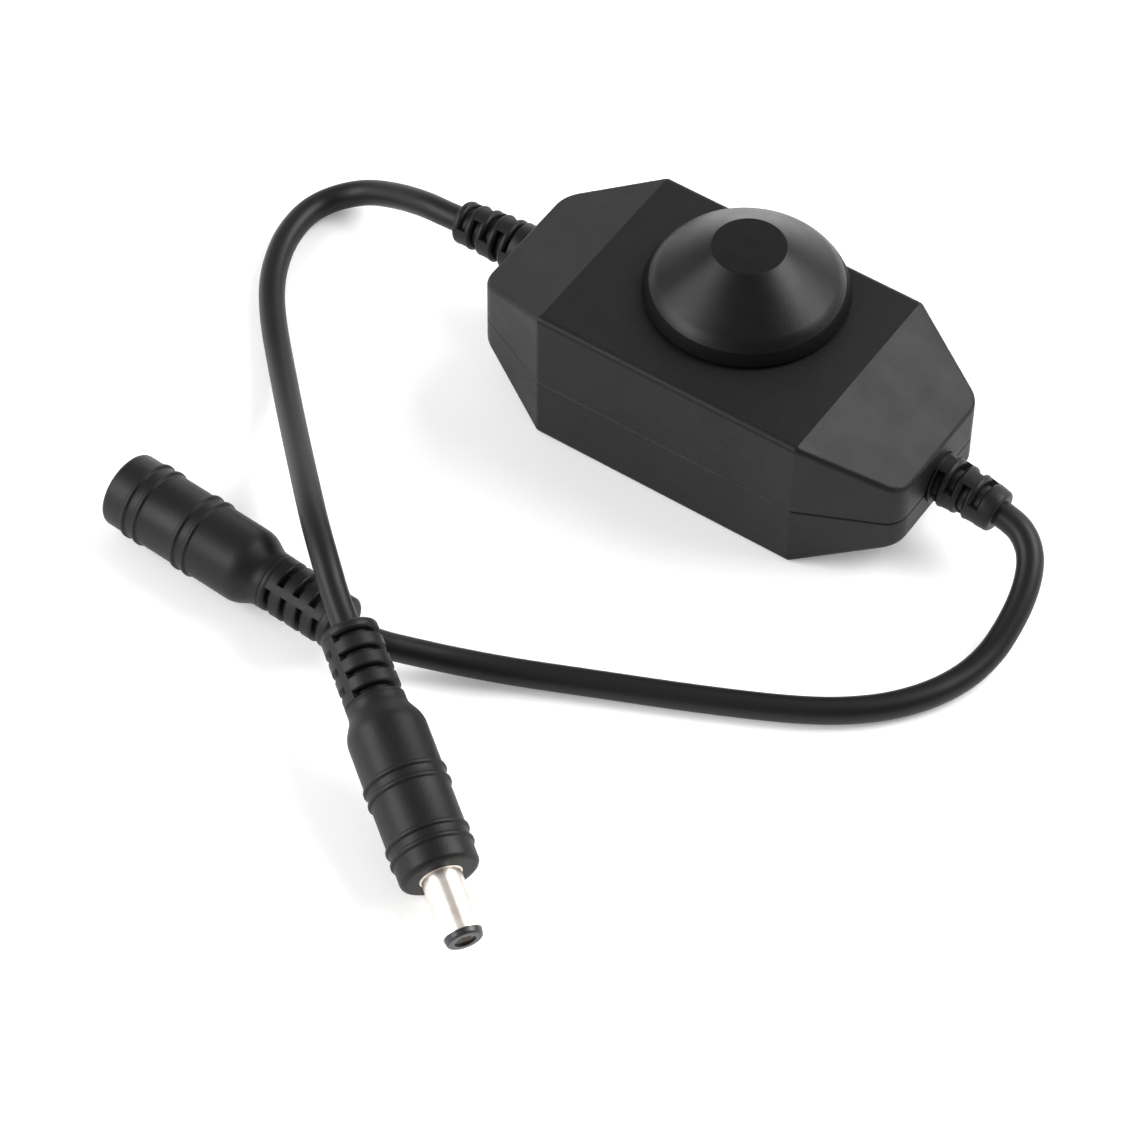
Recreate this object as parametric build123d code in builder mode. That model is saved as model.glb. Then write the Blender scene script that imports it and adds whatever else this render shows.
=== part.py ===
from build123d import *
from math import cos, pi, radians, sin, tan
import os

# Plug-in rotary dimmer, in millimetres.
# The origin is at the bottom centre of the housing, +Z up, +X towards the gland of the jack's cord.

# How far a cut runs past the face it opens
CUT_ALLOWANCE = 1.0

# Housing outline
FLAT_LENGTH = 41.5
WIDTH = 32.8
HEIGHT = 23.7
END_TAPER = 13.5
END_WIDTH = 20.4
END_DROP = 6.3
END_CORNER_R = 3.6
TOP_EDGE_R = 0.9
WALL = 2.0
PARTING_Z = 10.8
PARTING_CHAMFER = 0.2

# Lip of the bottom shell inside the top shell
LIP_THICKNESS = 0.9
LIP_HEIGHT = 1.0
LIP_CLEARANCE = 0.1

# Screws and their bosses
SCREW_X = 17.4
SCREW_Y = 12.0
TOP_BOSS_R = 2.7
BOTTOM_BOSS_R = 3.3
SCREW_SHANK_R = 1.2
SCREW_LENGTH = 9.0
SCREW_POINT_CHAMFER = 0.6
SCREW_HEAD_R = 2.1
SCREW_HEAD_H = 1.5
SCREW_SEAT_Z = 5.6
SCREW_HOLE_CLEARANCE = 0.15
PILOT_R = 1.2
PILOT_DEPTH = 5.4
RECESS_DEPTH = 0.9
RECESS_WIDTH = 0.5
RECESS_LENGTH = 2.2

# Circuit board and its posts
BOARD_LENGTH = 48.0
BOARD_WIDTH = 25.4
BOARD_THICKNESS = 1.6
BOARD_Z = 13.3
BOARD_CORNER = 4.6
BOARD_CLEARANCE = 0.5
POST_R = 1.6
POST_X = 7.0
POST_Y = -10.6

# Dial axis and potentiometer
DIAL_X = 0.0
DIAL_Y = 4.2
SHAFT_R = 3.0
SHAFT_CLEARANCE = 0.05
BUSHING_R = 3.5
BUSHING_LENGTH = 4.8
BUSHING_CLEARANCE = 0.15
BUSHING_CHAMFER = 0.15
CASE_WIDTH = 9.8
CASE_DEPTH = 11.0
CASE_CORNER_R = 0.6
COVER_THICKNESS = 1.2
CAVITY_R = 4.2
CASE_FLOOR = 1.2
TRACK_THICKNESS = 0.5
TRACK_CLEARANCE = 0.1
TRACK_BORE_R = 1.1
ROTOR_R = 3.5
ROTOR_HEIGHT = 2.0
ROTOR_GAP = 0.15
LUG_R = 4.05
LUG_WIDTH = 1.6
STOP_INNER_R = 3.65
STOP_WIDTH = 2.4
STOP_OVERLAP = 0.2
LUG_OVERLAP = 0.6
WIPER_THICKNESS = 0.3
WIPER_GAP = 0.08
WIPER_OUTER_R = 3.2
WIPER_INNER_R = 1.4
WIPER_FINGER_X = 0.6
WIPER_FINGER_Y = 2.4
WIPER_FINGER_WIDTH = 0.5
WIPER_FINGER_LENGTH = 0.9
SHAFT_FLAT = 1.5
SHAFT_CHAMFER = 0.4
TERMINAL_COUNT = 3
TERMINAL_PITCH = 2.5
TERMINAL_WIDTH = 0.9
TERMINAL_THICKNESS = 0.5
TERMINAL_LEG = 1.2
TERMINAL_RISE = 1.5
TERMINAL_HOLE_CLEARANCE = 0.15
WASHER_R = 6.0
WASHER_THICKNESS = 0.5
NUT_FLATS = 10.0
NUT_THICKNESS = 2.0
THREAD_CLEARANCE = 0.05

# Knob
KNOB_GAP = 0.35
KNOB_BASE_R = 14.5
KNOB_RIM_R = 13.5
KNOB_RIM_Z = 2.7
KNOB_CAP_R = 5.2
KNOB_HEIGHT = 9.0
KNOB_WALL = 1.7
KNOB_RIM_ROUND = 1.6
KNOB_CAP_ROUND = 0.12
KNOB_HUB_R = 4.7
KNOB_HUB_GAP = 0.4
KNOB_TOP_WALL = 1.6
KNOB_BORE_CLEARANCE = 0.03
KNOB_RIB_COUNT = 6
KNOB_RIB_WIDTH = 1.0
KNOB_RIB_LENGTH = 5.0
KNOB_RIB_OVERLAP = 0.5
KNOB_RIB_HEIGHT = 2.4
KNOB_RIM_STEP = 0.4
KNOB_BORE_END = 0.1
SHAFT_END_GAP = 0.2

# Cord glands on the housing
CORD_R = 1.9
GLAND_CLEARANCE = 0.1
GLAND_NECK_R = 3.0
GLAND_INNER_R = 4.2
GLAND_INNER_THICKNESS = 1.4
GLAND_ROOT_R = 3.8
GLAND_TIP_R = 3.15
PLUG_GLAND_Y = 3.2
JACK_GLAND_Y = 0.5
PLUG_GLAND_COLLAR = 3.0
JACK_GLAND_COLLAR = 0.2
PLUG_GLAND_BEND = 6.0
PLUG_GLAND_SAG = (0.0, 0.0, -1.0)
JACK_GLAND_BEND = 9.0
JACK_GLAND_SAG = (0.0, -0.6, -0.8)

# Ribbed strain reliefs, on the glands and on the two connectors
RELIEF_SLOT = 0.95
RELIEF_PITCH = 2.05
RELIEF_COUNT = 4
RELIEF_WEB = 2.6
RELIEF_FLANGE = 1.5
RELIEF_CORE_R = 2.35
RELIEF_OVERLAP = 0.1
RIB_OVERLAP = 0.02
PLUG_RELIEF_ROLL = 45

# Connector bodies, measured back from the front face
BODY_R = 5.45
BODY_EDGE_R = 0.8
RING_R = 5.75
RING_WIDTH = 0.8
NECK_R = 4.1
TAIL_R = 3.75
SHOULDER_LENGTH = 2.6
NECK_LENGTH = 1.4
CONNECTOR_PITCH = 2.65
CONNECTOR_SLOT = 1.15
CONNECTOR_FLANGE = 1.4
FLOOR_CLEARANCE = 0.02

# Plug
PLUG_BODY_LENGTH = 22.0
PLUG_RINGS = (3.4, 5.3, 12.3, 14.2)
PLUG_X = 14.04
PLUG_Y = -89.3
PLUG_HEADING = -35.5
PLUG_TILT = 11.5
BARREL_R = 2.75
BARREL_WALL = 0.45
BARREL_LENGTH = 8.6
BARREL_DEPTH = 6.0
BARREL_ROOT_R = 2.95
TIP_RING_R = 2.6
TIP_RING_LENGTH = 0.9
TIP_RING_TAPER = 10
TIP_EDGE_R = 0.35
CONTACT_R = 1.45
CONTACT_BORE_R = 1.05
CONTACT_RECESS = 0.5
SLEEVE_CLEARANCE = 0.02

# Jack
JACK_BODY_LENGTH = 22.8
JACK_RINGS = (4.0, 6.0, 12.9, 14.8)
JACK_X = -58.8
JACK_Y = -60.6
JACK_HEADING = -4.0
INSERT_R = 4.3
INSERT_LENGTH = 13.0
INSERT_SETBACK = 0.3
SOCKET_R = 3.0
SOCKET_DEPTH = 10.0
JACK_PIN_R = 1.0
JACK_PIN_SETBACK = 1.6
JACK_PIN_EDGE_R = 0.6
SPRING_WIDTH = 1.8
SPRING_THICKNESS = 0.3
SPRING_SLOT_DEPTH = 0.8
SPRING_SLOT_SETBACK = 1.5
SPRING_SETBACK = 2.0
SPRING_SIDE_CLEARANCE = 0.1

# Leads inside the housing
LEAD_R = 0.65
LEAD_SPACING = 2.4
LEAD_END_X = 21.6
LEAD_BEND_R = 1.8

# Board components: places on the board and body sizes
TRANSISTOR = (12.6, -5.2)
TRANSISTOR_LENGTH = 6.1
TRANSISTOR_WIDTH = 6.5
TRANSISTOR_HEIGHT = 2.3
TRANSISTOR_LEG_LENGTH = 2.4
TRANSISTOR_LEG_WIDTH = 0.8
TRANSISTOR_LEG_PITCH = 4.6
TAB_LENGTH = 7.4
TAB_WIDTH = 5.4
TAB_THICKNESS = 0.5
CHIP = (-12.4, -5.4)
CHIP_LENGTH = 4.9
CHIP_WIDTH = 3.9
CHIP_HEIGHT = 1.4
CHIP_STANDOFF = 0.15
CHIP_LEG_PITCH = 1.27
CHIP_LEG_COUNT = 4
CHIP_LEG_WIDTH = 0.4
CHIP_LEG_THICKNESS = 0.2
CHIP_LEG_DROP = 0.35
CHIP_LEG_REACH = 1.1
CAPACITOR = (-12.0, -2.6)
CAPACITOR_R = 3.15
CAPACITOR_HEIGHT = 7.6
CAPACITOR_EDGE_R = 0.5
CERAMIC_PLACES = [(-12.4, 2.2), (-7.6, -9.4), (4.8, -9.4)]
CERAMIC_LENGTH = 2.0
CERAMIC_WIDTH = 1.25
CERAMIC_HEIGHT = 0.9
RESISTOR_PLACES = [(-8.4, 0.4), (-8.4, 3.0), (-3.6, -9.4), (0.6, -9.4), (8.2, 1.4)]
RESISTOR_LENGTH = 1.6
RESISTOR_WIDTH = 0.8
RESISTOR_HEIGHT = 0.45
DIODE = (13.0, 3.4)
DIODE_LENGTH = 4.3
DIODE_WIDTH = 2.6
DIODE_HEIGHT = 2.2
PACKAGE_CHAMFER = 0.2

os.makedirs("parts", exist_ok=True)

# Derived places
HALF_FLAT = FLAT_LENGTH / 2
END_X = HALF_FLAT + END_TAPER
CEILING_Z = HEIGHT - WALL
BOARD_TOP = BOARD_Z + BOARD_THICKNESS
COVER_BOTTOM = CEILING_Z - COVER_THICKNESS
BUSHING_TOP = HEIGHT + BUSHING_LENGTH - WALL
TRACK_Z = BOARD_TOP + CASE_FLOOR
ROTOR_TOP = COVER_BOTTOM - ROTOR_GAP
ROTOR_Z = ROTOR_TOP - ROTOR_HEIGHT
KNOB_BOTTOM = HEIGHT + KNOB_GAP
KNOB_TOP = HEIGHT + KNOB_HEIGHT
HUB_BOTTOM = BUSHING_TOP + KNOB_HUB_GAP
SHAFT_TOP = KNOB_TOP - KNOB_TOP_WALL - KNOB_BORE_END - SHAFT_END_GAP
RELIEF_LENGTH = RELIEF_COUNT * RELIEF_PITCH + RELIEF_FLANGE
FLANGE_START = RELIEF_COUNT * RELIEF_PITCH
CONNECTOR_RELIEF_LENGTH = RELIEF_COUNT * CONNECTOR_PITCH + CONNECTOR_FLANGE
CONNECTOR_TAIL = SHOULDER_LENGTH + NECK_LENGTH + CONNECTOR_RELIEF_LENGTH


def connector_plane(x, y, z, heading, tilt):
    """Plane whose X axis runs along a connector, Y upwards."""
    a, t = radians(heading), radians(tilt)
    along = (cos(t) * cos(a), cos(t) * sin(a), -sin(t))
    return Plane(origin=(x, y, z), x_dir=along, z_dir=(sin(a), -cos(a), 0))


def slid_plane(plane, distance):
    """A connector's plane, moved along its axis."""
    return Plane(origin=plane.origin + plane.x_dir * distance, x_dir=plane.x_dir, z_dir=plane.z_dir)


def cross_plane(plane, distance):
    """Plane across a connector's axis, at a distance along it."""
    return Plane(origin=plane.origin + plane.x_dir * distance, x_dir=plane.y_dir, z_dir=plane.x_dir)


def housing_form(inset):
    """The closed outer form of the housing, drawn in by inset on every side."""
    with BuildPart() as form:
        with BuildSketch(Plane.XY) as plan:
            with BuildLine():
                Polyline(
                    (-END_X, -END_WIDTH / 2),
                    (-HALF_FLAT, -WIDTH / 2),
                    (HALF_FLAT, -WIDTH / 2),
                    (END_X, -END_WIDTH / 2),
                    (END_X, END_WIDTH / 2),
                    (HALF_FLAT, WIDTH / 2),
                    (-HALF_FLAT, WIDTH / 2),
                    (-END_X, END_WIDTH / 2),
                    close=True,
                )
            make_face()
            if inset > 0:
                offset(amount=-inset, kind=Kind.INTERSECTION)
            ends = plan.vertices().group_by(Axis.X)
            fillet(ends[0] + ends[-1], END_CORNER_R - min(inset, WALL))
        extrude(amount=HEIGHT)
        with BuildSketch(Plane.XZ):
            with BuildLine():
                Polyline(
                    (-END_X, END_DROP),
                    (-HALF_FLAT, 0),
                    (HALF_FLAT, 0),
                    (END_X, END_DROP),
                    (END_X, HEIGHT - END_DROP),
                    (HALF_FLAT, HEIGHT),
                    (-HALF_FLAT, HEIGHT),
                    (-END_X, HEIGHT - END_DROP),
                    close=True,
                )
            make_face()
            if inset > 0:
                offset(amount=-inset, kind=Kind.INTERSECTION)
        extrude(amount=WIDTH, both=True, mode=Mode.INTERSECT)
    return form.part


def on_ridge(edge):
    """True for the lines where the flat top or bottom meets an end bevel."""
    return abs(abs(edge.center().X) - HALF_FLAT) < 0.01 and abs(edge.tangent_at(0.5).Y) > 0.9


def rounded(edge):
    """True for the edges that are rounded: the rims, the end edges and the upright shoulders."""
    upright = abs(edge.tangent_at(0.5).Z) > 0.9
    shoulder = abs(abs(edge.center().X) - HALF_FLAT) < 0.01
    return not on_ridge(edge) and (shoulder or not upright)


with BuildPart() as outer_block:
    add(housing_form(0))
    fillet(outer_block.edges().filter_by(rounded), TOP_EDGE_R)
outer_form = outer_block.part
inner_form = housing_form(WALL)
rebate_form = housing_form(WALL - LIP_THICKNESS - LIP_CLEARANCE)
lip_form = housing_form(WALL - LIP_THICKNESS)
lip_inner_form = housing_form(WALL + LIP_CLEARANCE)

screw_places = GridLocations(2 * SCREW_X, 2 * SCREW_Y, 2, 2)
dial_place = Locations((DIAL_X, DIAL_Y))

# What both shells give up for the glands: the neck's hole and a pocket for the inner flange
with BuildPart() as gland_seats:
    for side, gland_y in ((-1, PLUG_GLAND_Y), (1, JACK_GLAND_Y)):
        outer_face = Plane(origin=(side * END_X, gland_y, PARTING_Z), z_dir=(side, 0, 0))
        with BuildSketch(outer_face.offset(CUT_ALLOWANCE)):
            Circle(GLAND_NECK_R + GLAND_CLEARANCE)
        extrude(amount=-WALL - 2 * CUT_ALLOWANCE)
        with BuildSketch(outer_face.offset(-WALL)):
            Circle(GLAND_INNER_R + GLAND_CLEARANCE)
        extrude(amount=-GLAND_INNER_THICKNESS - 2 * GLAND_CLEARANCE)

with BuildPart() as lip_band:
    add(lip_form)
    add(inner_form, mode=Mode.SUBTRACT)
    split(bisect_by=Plane.XY.offset(PARTING_Z), keep=Keep.TOP)
    split(bisect_by=Plane.XY.offset(PARTING_Z + LIP_HEIGHT), keep=Keep.BOTTOM)

with BuildPart() as rebate_band:
    add(rebate_form)
    add(lip_inner_form, mode=Mode.SUBTRACT)
    split(bisect_by=Plane.XY.offset(PARTING_Z), keep=Keep.TOP)
    split(bisect_by=Plane.XY.offset(PARTING_Z + LIP_HEIGHT + LIP_CLEARANCE), keep=Keep.BOTTOM)

# Top shell: walls, four screw bosses, rebate for the lip, gland slots, bushing hole
with BuildPart() as top_shell:
    add(outer_form)
    split(bisect_by=Plane.XY.offset(PARTING_Z), keep=Keep.TOP)
    chamfer(top_shell.faces().sort_by(Axis.Z)[0].edges(), PARTING_CHAMFER)
    add(inner_form, mode=Mode.SUBTRACT)
    with BuildSketch(Plane.XY.offset(CEILING_Z)):
        with screw_places:
            Circle(TOP_BOSS_R)
    extrude(amount=PARTING_Z - CEILING_Z)
    with BuildSketch(Plane.XY.offset(PARTING_Z)):
        with screw_places:
            Circle(PILOT_R)
    extrude(amount=PILOT_DEPTH, mode=Mode.SUBTRACT)
    add(rebate_band.part, mode=Mode.SUBTRACT)
    add(gland_seats.part, mode=Mode.SUBTRACT)
    with BuildSketch(Plane.XY.offset(CEILING_Z - CUT_ALLOWANCE)):
        with dial_place:
            Circle(BUSHING_R + BUSHING_CLEARANCE)
    extrude(amount=WALL + 2 * CUT_ALLOWANCE, mode=Mode.SUBTRACT)

# Bottom shell: walls, lip, counterbored bosses, board posts, gland slots
with BuildPart() as bottom_shell:
    add(outer_form)
    split(bisect_by=Plane.XY.offset(PARTING_Z), keep=Keep.BOTTOM)
    chamfer(bottom_shell.faces().sort_by(Axis.Z)[-1].edges(), PARTING_CHAMFER)
    add(inner_form, mode=Mode.SUBTRACT)
    add(lip_band.part)
    with BuildSketch(Plane.XY.offset(WALL)):
        with screw_places:
            Circle(BOTTOM_BOSS_R)
    extrude(amount=PARTING_Z - WALL)
    with BuildSketch(Plane.XY.offset(WALL)):
        with Locations((-POST_X, POST_Y), (POST_X, POST_Y)):
            Circle(POST_R)
    extrude(amount=BOARD_Z - WALL)
    with BuildSketch(Plane.XY):
        with screw_places:
            Circle(SCREW_HEAD_R + SCREW_HOLE_CLEARANCE)
    extrude(amount=SCREW_SEAT_Z, mode=Mode.SUBTRACT)
    with BuildSketch(Plane.XY.offset(SCREW_SEAT_Z)):
        with screw_places:
            Circle(SCREW_SHANK_R + SCREW_HOLE_CLEARANCE)
    extrude(amount=PARTING_Z - SCREW_SEAT_Z, mode=Mode.SUBTRACT)
    add(gland_seats.part, mode=Mode.SUBTRACT)

# Four self-tapping screws with cross recesses
with BuildPart() as housing_screws:
    with BuildSketch(Plane.XY.offset(SCREW_SEAT_Z - SCREW_HEAD_H)):
        with screw_places:
            Circle(SCREW_HEAD_R)
    extrude(amount=SCREW_HEAD_H)
    with BuildSketch(Plane.XY.offset(SCREW_SEAT_Z)):
        with screw_places:
            Circle(SCREW_SHANK_R)
    extrude(amount=SCREW_LENGTH)
    chamfer(housing_screws.faces().filter_by(Axis.Z).group_by(Axis.Z)[-1].edges(), SCREW_POINT_CHAMFER)
    with BuildSketch(Plane.XY.offset(SCREW_SEAT_Z - SCREW_HEAD_H)):
        with screw_places:
            Rectangle(RECESS_LENGTH, RECESS_WIDTH)
            Rectangle(RECESS_WIDTH, RECESS_LENGTH)
    extrude(amount=RECESS_DEPTH, mode=Mode.SUBTRACT)

# Circuit board, notched round the bosses
with BuildPart() as circuit_board:
    with BuildSketch(Plane.XY.offset(BOARD_Z)) as board_plan:
        Rectangle(BOARD_LENGTH, BOARD_WIDTH)
        chamfer(board_plan.vertices(), BOARD_CORNER)
        with screw_places:
            Circle(TOP_BOSS_R + BOARD_CLEARANCE, mode=Mode.SUBTRACT)
        with Locations((DIAL_X, DIAL_Y - CASE_DEPTH / 2 - TERMINAL_THICKNESS / 2)):
            with GridLocations(TERMINAL_PITCH, 1, TERMINAL_COUNT, 1):
                Rectangle(
                    TERMINAL_WIDTH + 2 * TERMINAL_HOLE_CLEARANCE,
                    TERMINAL_THICKNESS + 2 * TERMINAL_HOLE_CLEARANCE,
                    mode=Mode.SUBTRACT,
                )
    extrude(amount=BOARD_THICKNESS)

# Potentiometer case with its stop peg
with BuildPart() as pot_case:
    with BuildSketch(Plane.XY.offset(BOARD_TOP)):
        with dial_place:
            RectangleRounded(CASE_WIDTH, CASE_DEPTH, CASE_CORNER_R)
    extrude(amount=COVER_BOTTOM - BOARD_TOP)
    with BuildSketch(Plane.XY.offset(TRACK_Z)):
        with dial_place:
            Circle(CAVITY_R)
    extrude(amount=COVER_BOTTOM - TRACK_Z, mode=Mode.SUBTRACT)
    with BuildSketch(Plane.XY.offset(ROTOR_Z)):
        with Locations((DIAL_X, DIAL_Y - (STOP_INNER_R + CAVITY_R + STOP_OVERLAP) / 2)):
            Rectangle(STOP_WIDTH, CAVITY_R - STOP_INNER_R + STOP_OVERLAP)
    extrude(amount=COVER_BOTTOM - ROTOR_Z)

# Wafer that carries the resistive track
with BuildPart() as pot_track:
    with BuildSketch(Plane.XY.offset(TRACK_Z)):
        with dial_place:
            Circle(CAVITY_R - TRACK_CLEARANCE)
            Circle(TRACK_BORE_R, mode=Mode.SUBTRACT)
    extrude(amount=TRACK_THICKNESS)

# Metal cover and threaded bushing, one casting
with BuildPart() as pot_cover:
    with BuildSketch(Plane.XY.offset(COVER_BOTTOM)):
        with dial_place:
            RectangleRounded(CASE_WIDTH, CASE_DEPTH, CASE_CORNER_R)
    extrude(amount=COVER_THICKNESS)
    with BuildSketch(Plane.XY.offset(CEILING_Z)):
        with dial_place:
            Circle(BUSHING_R)
    extrude(amount=BUSHING_LENGTH)
    chamfer(pot_cover.faces().sort_by(Axis.Z)[-1].edges(), BUSHING_CHAMFER)
    with BuildSketch(Plane.XY.offset(COVER_BOTTOM)):
        with dial_place:
            Circle(SHAFT_R + SHAFT_CLEARANCE)
    extrude(amount=COVER_THICKNESS + BUSHING_LENGTH, mode=Mode.SUBTRACT)

# Three pins down the case's front face, through the board
with BuildPart() as pot_terminals:
    with BuildSketch(Plane.XY.offset(BOARD_Z - TERMINAL_LEG)):
        with Locations((DIAL_X, DIAL_Y - CASE_DEPTH / 2 - TERMINAL_THICKNESS / 2)):
            with GridLocations(TERMINAL_PITCH, 1, TERMINAL_COUNT, 1):
                Rectangle(TERMINAL_WIDTH, TERMINAL_THICKNESS)
    extrude(amount=TERMINAL_LEG + BOARD_THICKNESS + CASE_FLOOR + TERMINAL_RISE)

# Shaft and rotor, one moulding, with the stop lug and the flat that drives the knob
with BuildPart() as pot_shaft:
    with BuildSketch(Plane.XY.offset(ROTOR_Z)):
        with dial_place:
            Circle(ROTOR_R)
        with Locations((DIAL_X, DIAL_Y + (LUG_R + ROTOR_R - LUG_OVERLAP) / 2)):
            Rectangle(LUG_WIDTH, LUG_R - ROTOR_R + LUG_OVERLAP)
    extrude(amount=ROTOR_HEIGHT)
    with BuildSketch(Plane.XY.offset(ROTOR_TOP)):
        with dial_place:
            Circle(SHAFT_R)
    extrude(amount=SHAFT_TOP - ROTOR_TOP)
    chamfer(pot_shaft.faces().sort_by(Axis.Z)[-1].edges(), SHAFT_CHAMFER)
    with BuildSketch(Plane.XY.offset(HUB_BOTTOM)):
        with Locations((DIAL_X, DIAL_Y - SHAFT_R + SHAFT_FLAT / 2)):
            Rectangle(2 * SHAFT_R, SHAFT_FLAT)
    extrude(amount=SHAFT_TOP - HUB_BOTTOM, mode=Mode.SUBTRACT)

# Wiper: a sprung ring with two fingers that reach down to the track
with BuildPart() as pot_wiper:
    with BuildSketch(Plane.XY.offset(ROTOR_Z)):
        with dial_place:
            Circle(WIPER_OUTER_R)
            Circle(WIPER_INNER_R, mode=Mode.SUBTRACT)
    extrude(amount=-WIPER_THICKNESS)
    with BuildSketch(Plane.XY.offset(ROTOR_Z - WIPER_THICKNESS)):
        with Locations((DIAL_X, DIAL_Y + WIPER_FINGER_Y)):
            with GridLocations(2 * WIPER_FINGER_X, 1, 2, 1):
                Rectangle(WIPER_FINGER_WIDTH, WIPER_FINGER_LENGTH)
    extrude(amount=-(ROTOR_Z - WIPER_THICKNESS - TRACK_Z - TRACK_THICKNESS - WIPER_GAP))

with BuildPart() as pot_washer:
    with BuildSketch(Plane.XY.offset(HEIGHT)):
        with dial_place:
            Circle(WASHER_R)
            Circle(BUSHING_R + BUSHING_CLEARANCE, mode=Mode.SUBTRACT)
    extrude(amount=WASHER_THICKNESS)

with BuildPart() as pot_nut:
    with BuildSketch(Plane.XY.offset(HEIGHT + WASHER_THICKNESS)):
        with dial_place:
            RegularPolygon(NUT_FLATS / 2, 6, major_radius=False)
            Circle(BUSHING_R + THREAD_CLEARANCE, mode=Mode.SUBTRACT)
    extrude(amount=NUT_THICKNESS)

# Knob: a hollow cone with a steep rim, a flat cap, a hub with a flatted bore, and ribs
cone_slope = (KNOB_HEIGHT - KNOB_RIM_Z) / (KNOB_RIM_R - KNOB_CAP_R)
rim_step_z = HEIGHT + KNOB_RIM_Z - KNOB_RIM_STEP
dial_axis = Axis((DIAL_X, DIAL_Y, 0), (0, 0, 1))
knob_plane = Plane(origin=(DIAL_X, DIAL_Y, 0), x_dir=(1, 0, 0), z_dir=(0, -1, 0))
with BuildPart() as knob:
    with BuildSketch(knob_plane) as knob_section:
        with BuildLine():
            Polyline(
                (0, KNOB_BOTTOM),
                (KNOB_BASE_R, KNOB_BOTTOM),
                (KNOB_RIM_R, HEIGHT + KNOB_RIM_Z),
                (KNOB_CAP_R, KNOB_TOP),
                (0, KNOB_TOP),
                close=True,
            )
        make_face()
        rim_place = (DIAL_X + KNOB_RIM_R, DIAL_Y, HEIGHT + KNOB_RIM_Z)
        rim_point = knob_section.vertices().sort_by_distance(rim_place)[0]
        fillet(rim_point, KNOB_RIM_ROUND)
        cap_point = knob_section.vertices().sort_by_distance((DIAL_X + KNOB_CAP_R, DIAL_Y, KNOB_TOP))[0]
        fillet(cap_point, KNOB_CAP_ROUND)
    revolve(axis=dial_axis)
    with BuildSketch(knob_plane):
        with BuildLine():
            Polyline(
                (0, KNOB_BOTTOM - CUT_ALLOWANCE),
                (KNOB_BASE_R - KNOB_WALL, KNOB_BOTTOM - CUT_ALLOWANCE),
                (KNOB_BASE_R - KNOB_WALL, KNOB_BOTTOM),
                (KNOB_RIM_R - KNOB_WALL, rim_step_z),
                (KNOB_HUB_R, rim_step_z + cone_slope * (KNOB_RIM_R - KNOB_WALL - KNOB_HUB_R)),
                (KNOB_HUB_R, HUB_BOTTOM),
                (0, HUB_BOTTOM),
                close=True,
            )
        make_face()
    revolve(axis=dial_axis, mode=Mode.SUBTRACT)
    with BuildSketch(Plane.XY.offset(HUB_BOTTOM)):
        with dial_place:
            with PolarLocations(KNOB_HUB_R + KNOB_RIB_LENGTH / 2 - KNOB_RIB_OVERLAP, KNOB_RIB_COUNT):
                Rectangle(KNOB_RIB_LENGTH, KNOB_RIB_WIDTH)
    extrude(amount=KNOB_RIB_HEIGHT)
    with BuildSketch(Plane.XY.offset(HUB_BOTTOM)):
        with dial_place:
            Circle(SHAFT_R + KNOB_BORE_CLEARANCE)
        with Locations((DIAL_X, DIAL_Y - SHAFT_R + SHAFT_FLAT / 2 - KNOB_BORE_CLEARANCE)):
            Rectangle(3 * SHAFT_R, SHAFT_FLAT, mode=Mode.SUBTRACT)
    extrude(amount=SHAFT_TOP + SHAFT_END_GAP - HUB_BOTTOM, mode=Mode.SUBTRACT)


def relief_slots(plane, start, step, slot, outer_r, roll):
    """Staggered slots of a ribbed strain relief: the bridges between ribs turn by a quarter each time."""
    with BuildPart() as slots:
        for index in range(RELIEF_COUNT):
            turn = 90 * (index % 2) + roll
            with BuildSketch(cross_plane(plane, start + step * index)):
                Circle(outer_r + CUT_ALLOWANCE)
                Circle(RELIEF_CORE_R, mode=Mode.SUBTRACT)
                with Locations(Rotation(0, 0, turn)):
                    Rectangle(2 * (outer_r + 2 * CUT_ALLOWANCE), RELIEF_WEB, mode=Mode.SUBTRACT)
            extrude(amount=slot * (1 if step > 0 else -1))
    return slots.part


def sag_plane(side, gland_y, collar, bend, sag, distance):
    """Plane across a gland's line, at a distance past its collar, where the cord's pull has bent it."""
    turn = radians(bend) * distance / RELIEF_LENGTH
    bow = RELIEF_LENGTH / radians(bend)
    outwards = Vector(side, 0, 0)
    towards = Vector(*sag)
    root = Vector(side * (END_X + collar), gland_y, PARTING_Z)
    place = root + outwards * (bow * sin(turn)) + towards * (bow * (1 - cos(turn)))
    along = outwards * cos(turn) + towards * sin(turn)
    return Plane(origin=place, x_dir=along.cross(Vector(0, side, 0)), z_dir=along)


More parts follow.
